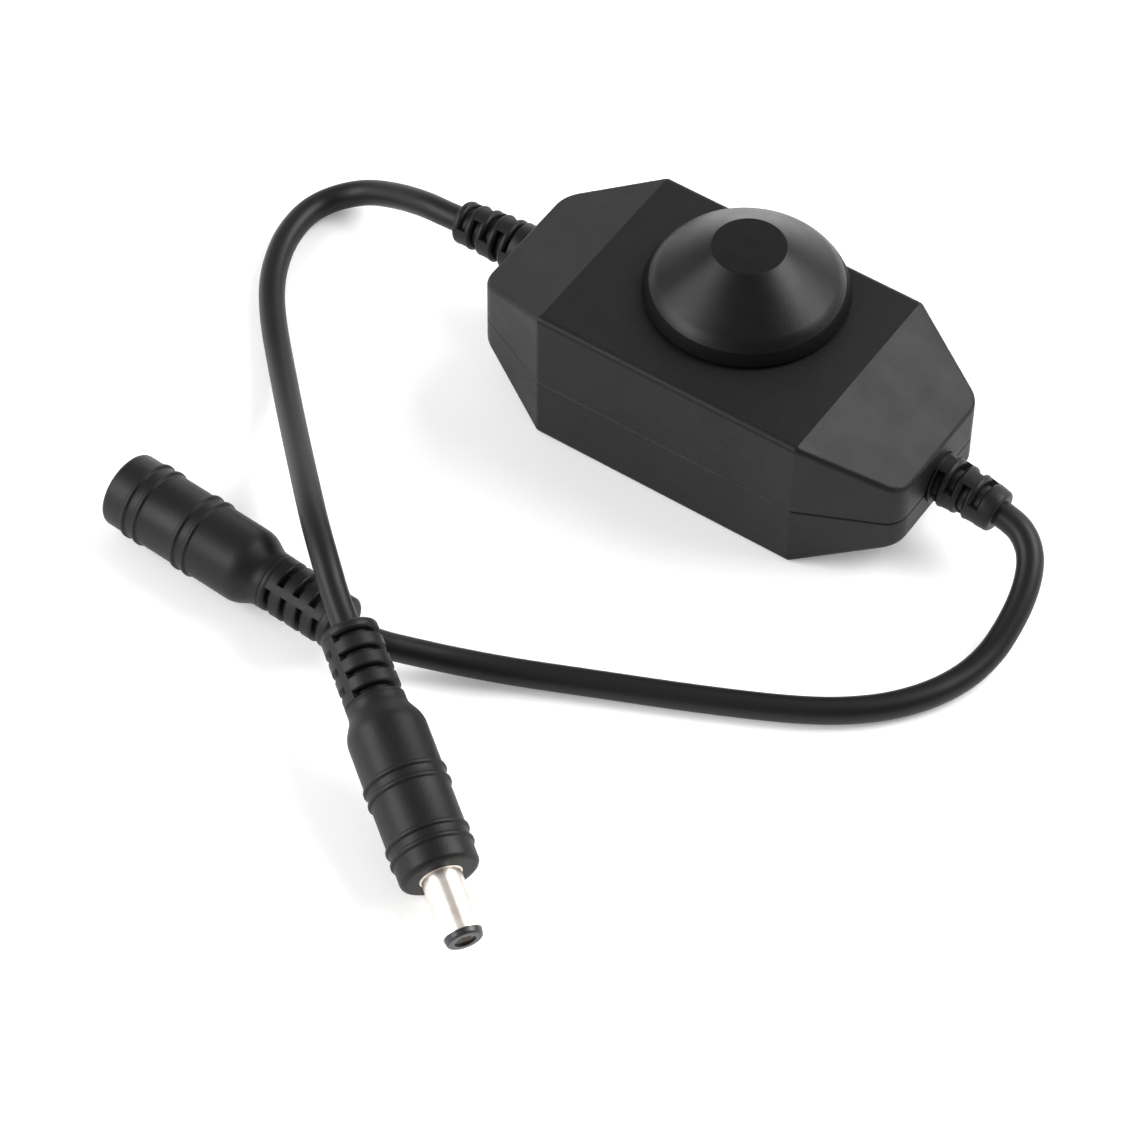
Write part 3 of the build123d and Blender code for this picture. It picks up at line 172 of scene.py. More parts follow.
class Effects:
    """Shader effects that several finishes share, each a node group that is built once."""

    def __init__(self) -> None:
        """Builds every group."""
        self.grain = self._grain()
        self.handling = self._handling()
        self.turning = self._turning()
        self.extrusion = self._extrusion()

    @staticmethod
    def _tree(name: str, inputs: dict[str, object], outputs: Sequence[str]) -> tuple[Graph, dict, dict]:
        """Makes an empty group.

        Args:
            name: the group's name.
            inputs: default values by name; None stands for a vector.
            outputs: names of its value outputs.

        Returns:
            The graph, its inputs and the sockets to link its outputs to.
        """
        tree = bpy.data.node_groups.new(name, "ShaderNodeTree")
        for label, value in inputs.items():
            kind = "NodeSocketVector" if value is None else "NodeSocketFloat"
            socket = tree.interface.new_socket(label, in_out="INPUT", socket_type=kind)
            if value is not None:
                socket.default_value = value
        for label in outputs:
            tree.interface.new_socket(label, in_out="OUTPUT", socket_type="NodeSocketFloat")
        entry = tree.nodes.new("NodeGroupInput")
        leave = tree.nodes.new("NodeGroupOutput")
        given = {label: entry.outputs[label] for label in inputs}
        wanted = {label: leave.inputs[label] for label in outputs}
        return Graph(tree), given, wanted

    def _grain(self) -> bpy.types.ShaderNodeTree:
        """Spark-eroded mould texture: fine irregular pits and a slower mottle."""
        graph, given, wanted = self._tree(
            "mould grain", {"Vector": None, "Scale": 4000.0}, ["Height", "Mottle"]
        )
        fine = graph.add(
            "TexNoise", {"Vector": given["Vector"], "Scale": given["Scale"], "Detail": 3.0, "Roughness": 0.6}
        )
        cells = graph.add("TexVoronoi", {"Vector": given["Vector"], "Scale": given["Scale"]}, feature="F1")
        pits = graph.maths("MULTIPLY", fine.outputs[0], cells.outputs["Distance"])
        slow_scale = graph.maths("MULTIPLY", given["Scale"], 0.06)
        slow = graph.add("TexNoise", {"Vector": given["Vector"], "Scale": slow_scale, "Detail": 4.0})
        graph.tree.links.new(pits, wanted["Height"])
        graph.tree.links.new(slow.outputs[0], wanted["Mottle"])
        return graph.tree

    def _handling(self) -> bpy.types.ShaderNodeTree:
        """Faint smudges and fine lint, as on a moulding that has been handled a little."""
        graph, given, wanted = self._tree(
            "handling", {"Vector": None, "Scale": 90.0}, ["Smudge", "Lint"]
        )
        broad = graph.add(
            "TexNoise",
            {
                "Vector": given["Vector"], "Scale": given["Scale"], "Detail": 5.0, "Roughness": 0.55,
                "Distortion": 0.8,
            },
        )
        smudge = graph.add("MapRange", {"Value": broad.outputs[0], "From Min": 0.38, "From Max": 0.68})
        lint_scale = graph.maths("MULTIPLY", given["Scale"], 9.0)
        lint = graph.add("TexVoronoi", {"Vector": given["Vector"], "Scale": lint_scale}, feature="F1")
        specks = graph.add(
            "MapRange", {"Value": lint.outputs["Distance"], "From Min": 0.09, "From Max": 0.02}
        )
        graph.tree.links.new(smudge.outputs[0], wanted["Smudge"])
        graph.tree.links.new(specks.outputs[0], wanted["Lint"])
        return graph.tree

    def _turning(self) -> bpy.types.ShaderNodeTree:
        """Turning marks: fine rings across the X axis of the given coordinates, uneven in depth."""
        graph, given, wanted = self._tree(
            "turning marks", {"Vector": None, "Pitch": 9000.0}, ["Height", "Streak"]
        )
        apart = graph.add("SeparateXYZ", {"Vector": given["Vector"]})
        along = graph.add("CombineXYZ", {"X": apart.outputs["X"]})
        rings = graph.add(
            "TexNoise", {"Vector": along.outputs[0], "Scale": given["Pitch"], "Detail": 3.0, "Roughness": 0.7}
        )
        slow_pitch = graph.maths("MULTIPLY", given["Pitch"], 0.12)
        streaks = graph.add("TexNoise", {"Vector": along.outputs[0], "Scale": slow_pitch, "Detail": 2.0})
        graph.tree.links.new(rings.outputs[0], wanted["Height"])
        graph.tree.links.new(streaks.outputs[0], wanted["Streak"])
        return graph.tree

    def _extrusion(self) -> bpy.types.ShaderNodeTree:
        """Cord jacket: die lines along the cord, slow swells and a fine skin, on the cord's own UV map."""
        graph, given, wanted = self._tree(
            "cord jacket", {"Vector": None, "Lines": 14.0, "Length": 30.0}, ["Height", "Mottle"]
        )
        apart = graph.add("SeparateXYZ", {"Vector": given["Vector"]})
        around = graph.maths("MULTIPLY", apart.outputs["Y"], given["Lines"])
        slow_along = graph.maths("MULTIPLY", apart.outputs["X"], 6.0)
        die = graph.add("CombineXYZ", {"X": slow_along, "Y": around})
        lines = graph.add("TexNoise", {"Vector": die.outputs[0], "Scale": 1.0, "Detail": 2.0})
        swell_along = graph.maths("MULTIPLY", apart.outputs["X"], given["Length"])
        swell_vector = graph.add("CombineXYZ", {"X": swell_along, "Y": apart.outputs["Y"]})
        swells = graph.add("TexNoise", {"Vector": swell_vector.outputs[0], "Scale": 1.0, "Detail": 2.0})
        skin_along = graph.maths("MULTIPLY", apart.outputs["X"], 900.0)
        skin_around = graph.maths("MULTIPLY", apart.outputs["Y"], 90.0)
        skin_vector = graph.add("CombineXYZ", {"X": skin_along, "Y": skin_around})
        skin = graph.add("TexNoise", {"Vector": skin_vector.outputs[0], "Scale": 1.0, "Detail": 2.0})
        rough = graph.maths("MULTIPLY", skin.outputs[0], 0.15)
        wave = graph.maths("MULTIPLY", swells.outputs[0], 0.6)
        scored = graph.maths("MULTIPLY", lines.outputs[0], 0.25)
        height = graph.maths("ADD", scored, graph.maths("ADD", rough, wave))
        graph.tree.links.new(height, wanted["Height"])
        graph.tree.links.new(skin.outputs[0], wanted["Mottle"])
        return graph.tree


# ---- finishes


@dataclass(frozen=True)
class Placement:
    """Where a turned or moulded piece stands: its front, the line it lies along and its upper side.

    Lengths are in millimetres. The X axis of its own frame runs along the piece.
    """

    origin: Point
    along: Point
    up: Point

    def matrix(self) -> Matrix:
        """Own millimetres to row-frame metres."""
        x = Vector(self.along).normalized()
        z = x.cross(Vector(self.up)).normalized()
        y = z.cross(x)
        turn = Matrix((x, y, z)).transposed().to_4x4()
        return Matrix.Translation(Vector(self.origin) * MM) @ turn @ Matrix.Scale(MM, 4)


@dataclass(frozen=True)
class MouldedPlastic:
    """Hard or soft moulded plastic with a mould grain, a mottle and faint handling marks."""

    name: str
    colour: Colour
    mottle_colour: Colour
    roughness: float
    roughness_spread: float = 0.06
    grain_scale: float = 4200.0
    grain_depth: float = 0.02 * MM
    smudge: float = 0.05
    specular: float = 0.5
    sheen: float = 0.0
    coat: float = 0.0

    def material(self, effects: Effects) -> bpy.types.Material:
        """Makes the material.

        Args:
            effects: the shared node groups.

        Returns:
            The material, on Object coordinates.
        """
        made = bpy.data.materials.new(self.name)
        made.use_nodes = True
        graph = Graph(made.node_tree)
        shader = made.node_tree.nodes["Principled BSDF"]
        place = graph.add("TexCoord").outputs["Object"]
        grain = graph.effect(effects.grain, Vector=place, Scale=self.grain_scale)
        handling = graph.effect(effects.handling, Vector=place)
        colour = graph.blend(grain.outputs["Mottle"], self.colour, self.mottle_colour)
        low = self.roughness - self.roughness_spread
        high = self.roughness + self.roughness_spread
        rough = graph.spread(grain.outputs["Mottle"], low, high)
        rub = graph.maths("MULTIPLY", handling.outputs["Smudge"], -self.smudge)
        rough = graph.maths("ADD", rough, rub)
        bump = graph.add(
            "Bump", {"Strength": 1.0, "Distance": self.grain_depth, "Height": grain.outputs["Height"]}
        )
        made.node_tree.links.new(colour, shader.inputs["Base Color"])
        made.node_tree.links.new(rough, shader.inputs["Roughness"])
        made.node_tree.links.new(bump.outputs[0], shader.inputs["Normal"])
        shader.inputs["Specular IOR Level"].default_value = self.specular
        shader.inputs["Sheen Weight"].default_value = self.sheen
        shader.inputs["Coat Weight"].default_value = self.coat
        return made


@dataclass(frozen=True)
class CordJacket:
    """Extruded soft jacket of a cord, on the cord's own UV map."""

    name: str
    colour: Colour
    mottle_colour: Colour
    roughness: float
    depth: float = 0.05 * MM

    def material(self, effects: Effects) -> bpy.types.Material:
        """Makes the material.

        Args:
            effects: the shared node groups.

        Returns:
            The material, on UV coordinates.
        """
        made = bpy.data.materials.new(self.name)
        made.use_nodes = True
        graph = Graph(made.node_tree)
        shader = made.node_tree.nodes["Principled BSDF"]
        place = graph.add("TexCoord").outputs["UV"]
        jacket = graph.effect(effects.extrusion, Vector=place)
        colour = graph.blend(jacket.outputs["Mottle"], self.colour, self.mottle_colour)
        rough = graph.spread(jacket.outputs["Mottle"], self.roughness - 0.05, self.roughness + 0.07)
        bump = graph.add("Bump", {"Strength": 1.0, "Distance": self.depth, "Height": jacket.outputs["Height"]})
        made.node_tree.links.new(colour, shader.inputs["Base Color"])
        made.node_tree.links.new(rough, shader.inputs["Roughness"])
        made.node_tree.links.new(bump.outputs[0], shader.inputs["Normal"])
        shader.inputs["Specular IOR Level"].default_value = 0.26
        return made


@dataclass(frozen=True)
class PlatedMetal:
    """Turned and plated metal: fine rings across the piece's own axis, streaks and slight tarnish."""

    name: str
    colour: Colour
    tarnish: Colour
    roughness: float
    placement: Placement
    pitch: float = 9.0
    depth: float = 0.006 * MM

    def material(self, effects: Effects) -> bpy.types.Material:
        """Makes the material.

        Args:
            effects: the shared node groups.

        Returns:
            The material, on Object coordinates turned to the piece's axis.
        """
        made = bpy.data.materials.new(self.name)
        made.use_nodes = True
        graph = Graph(made.node_tree)
        shader = made.node_tree.nodes["Principled BSDF"]
        place = graph.add("TexCoord").outputs["Object"]
        own = self.placement.matrix().inverted()
        mapping = graph.add("Mapping", {"Vector": place})
        mapping.inputs["Location"].default_value = own.to_translation()
        mapping.inputs["Rotation"].default_value = own.to_euler()
        mapping.inputs["Scale"].default_value = own.to_scale()
        turning = graph.effect(effects.turning, Vector=mapping.outputs[0], Pitch=self.pitch)
        handling = graph.effect(effects.handling, Vector=place, Scale=260.0)
        colour = graph.blend(handling.outputs["Smudge"], self.colour, self.tarnish)
        low, high = self.roughness * 0.75, self.roughness * 1.35
        rough = graph.spread(turning.outputs["Streak"], low, high)
        bump = graph.add("Bump", {"Strength": 1.0, "Distance": self.depth, "Height": turning.outputs["Height"]})
        made.node_tree.links.new(colour, shader.inputs["Base Color"])
        made.node_tree.links.new(rough, shader.inputs["Roughness"])
        made.node_tree.links.new(bump.outputs[0], shader.inputs["Normal"])
        shader.inputs["Metallic"].default_value = 1.0
        return made


@dataclass(frozen=True)
class BoardMask:
    """Solder mask over copper: tracks and pads stand a little proud and paler under the green."""

    name: str
    mask: Colour
    over_copper: Colour
    track_scale: float = 420.0

    def material(self, effects: Effects) -> bpy.types.Material:
        """Makes the material.

        Args:
            effects: the shared node groups.

        Returns:
            The material, on Object coordinates.
        """
        made = bpy.data.materials.new(self.name)
        made.use_nodes = True
        graph = Graph(made.node_tree)
        shader = made.node_tree.nodes["Principled BSDF"]
        place = graph.add("TexCoord").outputs["Object"]
        tracks = graph.add(
            "TexBrick", {"Vector": place, "Scale": self.track_scale, "Mortar Size": 0.09}, offset=0.37
        )
        grain = graph.effect(effects.grain, Vector=place, Scale=3000.0)
        colour = graph.blend(tracks.outputs["Fac"], self.mask, self.over_copper)
        rough = graph.spread(grain.outputs["Mottle"], 0.22, 0.36)
        bump = graph.add("Bump", {"Strength": 1.0, "Distance": 0.035 * MM, "Height": tracks.outputs["Fac"]})
        made.node_tree.links.new(colour, shader.inputs["Base Color"])
        made.node_tree.links.new(rough, shader.inputs["Roughness"])
        made.node_tree.links.new(bump.outputs[0], shader.inputs["Normal"])
        return made


# ---- mesh work


def spun(profile: Profile, rounds: dict[int, float], steps: int = 96, segments: int = 4) -> bmesh.types.BMesh:
    """Turns a half section about the X axis into a closed solid.

    Args:
        profile: (distance along the axis, radius) of each corner, in millimetres; first and last on the axis.
        rounds: rounding radius by corner number.
        steps: faces around the axis.
        segments: pieces in each rounding.

    Returns:
        The solid in its own frame, in millimetres.
    """
    made = bmesh.new()
    corners = [made.verts.new((x, r, 0.0)) for x, r in profile]
    for before, after in zip(corners, corners[1:]):
        made.edges.new((before, after))
    for radius in sorted(set(rounds.values())):
        picked = [corners[index] for index, value in rounds.items() if value == radius]
        bmesh.ops.bevel(
            made, geom=picked, offset=radius, offset_type="OFFSET", segments=segments, profile=0.5,
            affect="VERTICES", material=-1,
        )
    bmesh.ops.spin(
        made, geom=made.verts[:] + made.edges[:], cent=(0, 0, 0), axis=(1, 0, 0), dvec=(0, 0, 0),
        angle=math.tau, steps=steps, use_merge=True,
    )
    bmesh.ops.remove_doubles(made, verts=made.verts[:], dist=1e-5)
    bmesh.ops.recalc_face_normals(made, faces=made.faces[:])
    return made


def joined(parts: Sequence[bmesh.types.BMesh]) -> bmesh.types.BMesh:
    """Puts several solids into one, and frees them.

    Args:
        parts: the solids, in one frame.

    Returns:
        One bmesh that holds them all.
    """
    made = bmesh.new()
    for part in parts:
        carrier = bpy.data.meshes.new("carrier")
        part.to_mesh(carrier)
        part.free()
        made.from_mesh(carrier)
        bpy.data.meshes.remove(carrier)
    return made


def finished(
    name: str,
    shape: bmesh.types.BMesh,
    place: Matrix,
    material: bpy.types.Material,
    body: Body,
    stands_for: Sequence[str],
) -> bpy.types.Object:
    """Makes an object of a solid, dresses it and attaches it to its body.

    Args:
        name: the piece's name.
        shape: the solid in its own frame; it is freed.
        place: own frame to row frame.
        material: its finish.
        body: what it rides on.
        stands_for: the CAD nodes that it replaces.

    Returns:
        The object, at the origin.
    """
    bmesh.ops.transform(shape, matrix=place, verts=shape.verts[:])
    mesh = bpy.data.meshes.new(name)
    shape.to_mesh(mesh)
    shape.free()
    mesh.polygons.foreach_set("use_smooth", [True] * len(mesh.polygons))
    mesh.set_sharp_from_angle(angle=math.radians(40))
    mesh.materials.append(material)
    piece = bpy.data.objects.new(name, mesh)
    bpy.context.scene.collection.objects.link(piece)
    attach(piece, body.value)
    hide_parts(*stands_for)
    LOG.info("%s: %d faces", name, len(mesh.polygons))
    return piece


# ---- strain reliefs


@dataclass(frozen=True)
class Relief:
    """A ribbed strain relief: ribs round a core, counted from the tip, with bridges in the slots between them.

    The bridges stand at the directions given in turn, in degrees from the upper side.
    """

    length: float
    root_r: float
    tip_r: float
    core_r: float
    flange: float
    slot: float
    step: float
    count: int
    bridges: tuple[tuple[float, ...], ...]
    span: float

    def radius(self, distance: float) -> float:
        """Outer radius at a distance from the root."""
        return self.root_r + (self.tip_r - self.root_r) * distance / self.length

    def ring(self, near: float, far: float) -> bmesh.types.BMesh:
        """Makes a rib, or the tip's flange, with a bevelled and rounded rim."""
        edge = min((far - near) * 0.35, 0.3)
        rim = [
            (near, 0),
            (near, self.radius(near) - 1.3 * edge),
            (near + edge, self.radius(near)),
            (far - edge, self.radius(far)),
            (far, self.radius(far) - 1.3 * edge),
            (far, 0),
        ]
        return spun(rim, {1: 0.12, 2: 0.2, 3: 0.2, 4: 0.12}, 96, 3)

    def bridge(self, near: float, far: float, middle: float) -> bmesh.types.BMesh:
        """Makes a bridge between two ribs.

        Args:
            near: where it begins, inside the rib before it.
            far: where it ends, inside the rib after it.
            middle: the direction of its middle, in degrees from the upper side.

        Returns:
            A sector of a ring.
        """
        made = bmesh.new()
        inner = self.core_r - 0.4
        outline = ((near, inner), (far, inner), (far, self.radius(far) - 0.01), (near, self.radius(near) - 0.01))
        made.faces.new([made.verts.new((x, r, 0.0)) for x, r in outline])
        first = Matrix.Rotation(math.radians(middle - self.span / 2), 3, "X")
        bmesh.ops.rotate(made, cent=(0, 0, 0), matrix=first, verts=made.verts[:])
        bmesh.ops.spin(
            made, geom=made.verts[:] + made.edges[:] + made.faces[:], cent=(0, 0, 0), axis=(1, 0, 0),
            dvec=(0, 0, 0), angle=math.radians(self.span), steps=max(12, round(self.span / 4)), use_merge=False,
        )
        bmesh.ops.recalc_face_normals(made, faces=made.faces[:])
        return made

    def parts(self) -> list[bmesh.types.BMesh]:
        """Makes the core, the ribs, the bridges and the tip's flange, from 0 at the root along +X."""
        core = [(-0.5, 0), (-0.5, self.core_r), (self.length - 0.3, self.core_r), (self.length - 0.3, 0)]
        made = [spun(core, {}, 64)]
        far, near = self.length, self.length - self.flange
        reach = (self.step - self.slot) * 0.4
        for index in range(self.count):
            made.append(self.ring(near, far))
            far, near = near - self.slot, near - self.step
            for middle in self.bridges[index % 2]:
                made.append(self.bridge(far - reach, far + self.slot + reach, middle))
        if far > 0.3:
            made.append(self.ring(-0.3, far))
        return made


@dataclass
class CordGland:
    """The gland where a cord leaves the housing."""

    name: str
    side: Side
    y: float
    collar: float
    bend: float
    sag: tuple[float, float]
    relief: Relief
    wall_x: float = 34.25
    centre_z: float = 10.8
    wall: float = 2.0
    clearance: float = 0.1
    neck_r: float = 3.0
    inner_r: float = 4.2
    inner_thickness: float = 1.4
    least_collar: float = 0.3

    def placement(self) -> Placement:
        """Its root at the wall's outer face, its X axis outwards."""
        outwards = self.side.value
        return Placement((outwards * self.wall_x, self.y, self.centre_z), (outwards, 0, 0), (0, 0, 1))

    def droop(self, shape: bmesh.types.BMesh) -> None:
        """Bends the relief where its cord pulls it, on an arc that begins at the collar.

        Args:
            shape: the straight gland in its own frame; its vertices are moved.
        """
        bow = self.relief.length / math.radians(self.bend)
        pull = Vector((0.0, *self.sag))
        for vert in shape.verts:
            distance = vert.co.x - self.collar
            if distance <= 0.0:
                continue
            turn = distance / bow
            across = Vector((0.0, vert.co.y, vert.co.z))
            along = Vector((math.cos(turn), 0, 0)) + pull * math.sin(turn)
            centre = Vector((self.collar + bow * math.sin(turn), 0, 0)) + pull * bow * (1 - math.cos(turn))
            vert.co = centre + Vector((1, 0, 0)).rotation_difference(along) @ across

    def build(self, material: bpy.types.Material) -> bpy.types.Object:
        """Builds the gland.

        Args:
            material: its finish.

        Returns:
            The gland, which rides on the housing.
        """
        back = -self.wall - self.clearance
        collar = max(self.collar, self.clearance + self.least_collar)
        root = [
            (back - self.inner_thickness, 0),
            (back - self.inner_thickness, self.inner_r),
            (back, self.inner_r),
            (back, self.neck_r),
            (self.clearance, self.neck_r),
            (self.clearance, self.relief.root_r),
            (collar, self.relief.root_r),
            (collar, 0),
        ]
        ribs = self.relief.parts()
        for part in ribs:
            bmesh.ops.translate(part, vec=(self.collar, 0, 0), verts=part.verts[:])
        shape = joined([spun(root, {5: 0.1, 6: 0.12}, 96, 3)] + ribs)
        self.droop(shape)
        return finished(
            self.name, shape, self.placement().matrix(), material, Body.HOUSING,
            [self.name.replace("_skin", "")],
        )


# ---- connectors


@dataclass
class MouldedConnector:
    """A connector's over-moulding: body with raised rings, shoulder, neck and strain relief, one moulding."""

    name: str
    placement: Placement
    body_length: float
    rings: tuple[float, ...]
    bore_r: float
    bore_depth: float
    relief: Relief
    body_r: float = 5.45
    ring_r: float = 5.75
    ring_width: float = 0.8
    front_edge: float = 0.8
    neck_r: float = 4.1
    shoulder: float = 2.6
    neck: float = 1.4
    ring_edge: float = 0.08
    body_edge: float = 0.9
    shoulder_edge: float = 0.6
    neck_edge: float = 0.15

    def profile(self) -> tuple[list[tuple[float, float]], dict[int, float]]:
        """Half section from the bore's bottom to the first slot, with its roundings."""
        points = [(-self.bore_depth, 0), (-self.bore_depth, self.bore_r), (0, self.bore_r), (0, self.body_r)]
        rounds = {3: self.front_edge}
        for ring in self.rings:
            half, quarter = self.ring_width / 2, self.ring_width / 4
            outline = ((half, self.body_r), (quarter, self.ring_r), (-quarter, self.ring_r), (-half, self.body_r))
            for distance, radius in outline:
                rounds[len(points)] = self.ring_edge
                points.append((-ring + distance, radius))
        neck_start = -self.body_length - self.shoulder
        rounds[len(points)] = self.body_edge
        points.append((-self.body_length, self.body_r))
        rounds[len(points)] = self.shoulder_edge
        points.append((neck_start, self.neck_r))
        rounds[len(points)] = self.neck_edge
        points.append((neck_start - self.neck, self.neck_r))
        points.append((neck_start - self.neck, 0))
        return points, rounds

    def build(self, material: bpy.types.Material) -> bpy.types.Object:
        """Builds the over-moulding.

        Args:
            material: its finish.

        Returns:
            The moulding, which rides on the housing as the whole cord does.
        """
        points, rounds = self.profile()
        ribs = self.relief.parts()
        backwards = Matrix.Translation((-self.body_length - self.shoulder - self.neck, 0, 0))
        backwards = backwards @ Matrix.Scale(-1.0, 4, (1, 0, 0))
        for part in ribs:
            bmesh.ops.transform(part, matrix=backwards, verts=part.verts[:])
            bmesh.ops.recalc_face_normals(part, faces=part.faces[:])
        return finished(
            self.name, joined([spun(points, rounds, 128, 4)] + ribs), self.placement.matrix(), material,
            Body.HOUSING, [self.name.replace("_skin", "")],
        )


# ---- dial


@dataclass
class DialKnob:
    """The knob: a cone with a flat cap over a steep skirt, hollow below, with a hub."""

    centre: Point = (0.0, 4.2, 23.7)
    bottom: float = 0.35
    base_r: float = 14.5
    rim_r: float = 13.5
    rim_z: float = 2.7
    rim_round: float = 1.6
    cap_r: float = 5.2
    height: float = 9.0
    cap_round: float = 0.12
    wall: float = 1.7
    hub_r: float = 4.7
    hub_bottom: float = 3.2
    bore_r: float = 3.03
    bore_top: float = 7.3

    def build(self, material: bpy.types.Material, skirt_shade_material: bpy.types.Material) -> bpy.types.Object:
        """Builds the knob.

        Args:
            material: its finish.
            skirt_shade_material: a darker, duller copy of the knob plastic for the steep skirt, painted shade.

        Returns:
            The knob, which rides on the dial.
        """
        slope = (self.height - self.rim_z) / (self.rim_r - self.cap_r)
        inner_rim_r = self.rim_r - self.wall
        inner_rim_z = self.rim_z - 0.4
        inner_top = inner_rim_z + slope * (inner_rim_r - self.hub_r)
        section = [
            (self.bore_top, 0),
            (self.bore_top, self.bore_r),
            (self.hub_bottom, self.bore_r),
            (self.hub_bottom, self.hub_r),
            (inner_top, self.hub_r),
            (inner_rim_z, inner_rim_r),
            (self.bottom, self.base_r - self.wall),
            (self.bottom, self.base_r),
            (self.rim_z, self.rim_r),
            (self.height, self.cap_r),
            (self.height, 0),
        ]
        shape = spun(section, {7: 0.25, 8: self.rim_round, 9: self.cap_round, 6: 0.2}, 256, 8)
        # faces of the steep skirt take the second material: painted shade, darker and less glossy than the rest
        # of the knob
        for face in shape.faces:
            centre = face.calc_center_median()
            if centre.x < self.rim_z - 0.5 and math.hypot(centre.y, centre.z) > self.rim_r - 0.9:
                face.material_index = 1
        place = Placement(self.centre, (0, 0, 1), (0, 1, 0)).matrix()
        knob = finished("knob_skin", shape, place, material, Body.DIAL, ["knob"])
        knob.data.materials.append(skirt_shade_material)
        return knob


# ---- cords


class FarEnd(Enum):
    """What a cord ends in."""

    PLUG = "plug"
    CONNECTOR = "connector"


@dataclass
class FreeCord:
    """A cord that leaves the housing's gland and lies on the floor up to its connector."""

    name: str
    node: str
    route: Sequence[Point]
    length: float
    far_end: FarEnd
    radius: float = 1.9

    def build(self, material: bpy.types.Material, on_it: Sequence[bpy.types.Object]) -> bpy.types.Object:
        """Builds the cord as a smooth spline with the route's points as its control points.

        Args:
            material: its finish.
            on_it: the pieces at its far end; not used.

        Returns:
            The cord.
        """
        curve = bpy.data.curves.new(self.name, "CURVE")
        curve.dimensions = "3D"
        curve.resolution_u = 16
        curve.render_resolution_u = 16
        curve.bevel_depth = self.radius * MM
        curve.bevel_resolution = 10
        spline = curve.splines.new("NURBS")
        spline.points.add(len(self.route) - 1)
        for point, place in zip(spline.points, self.route):
            point.co = (place[0] * MM, place[1] * MM, place[2] * MM, 1.0)
        spline.order_u = 3
        spline.use_endpoint_u = True
        curve.materials.append(material)
        piece = bpy.data.objects.new(self.name, curve)
        bpy.context.scene.collection.objects.link(piece)
        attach(piece, Body.HOUSING.value)
        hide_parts(self.node)
        LOG.info("%s: %d control points", self.name, len(self.route))
        return piece


# ---- studio


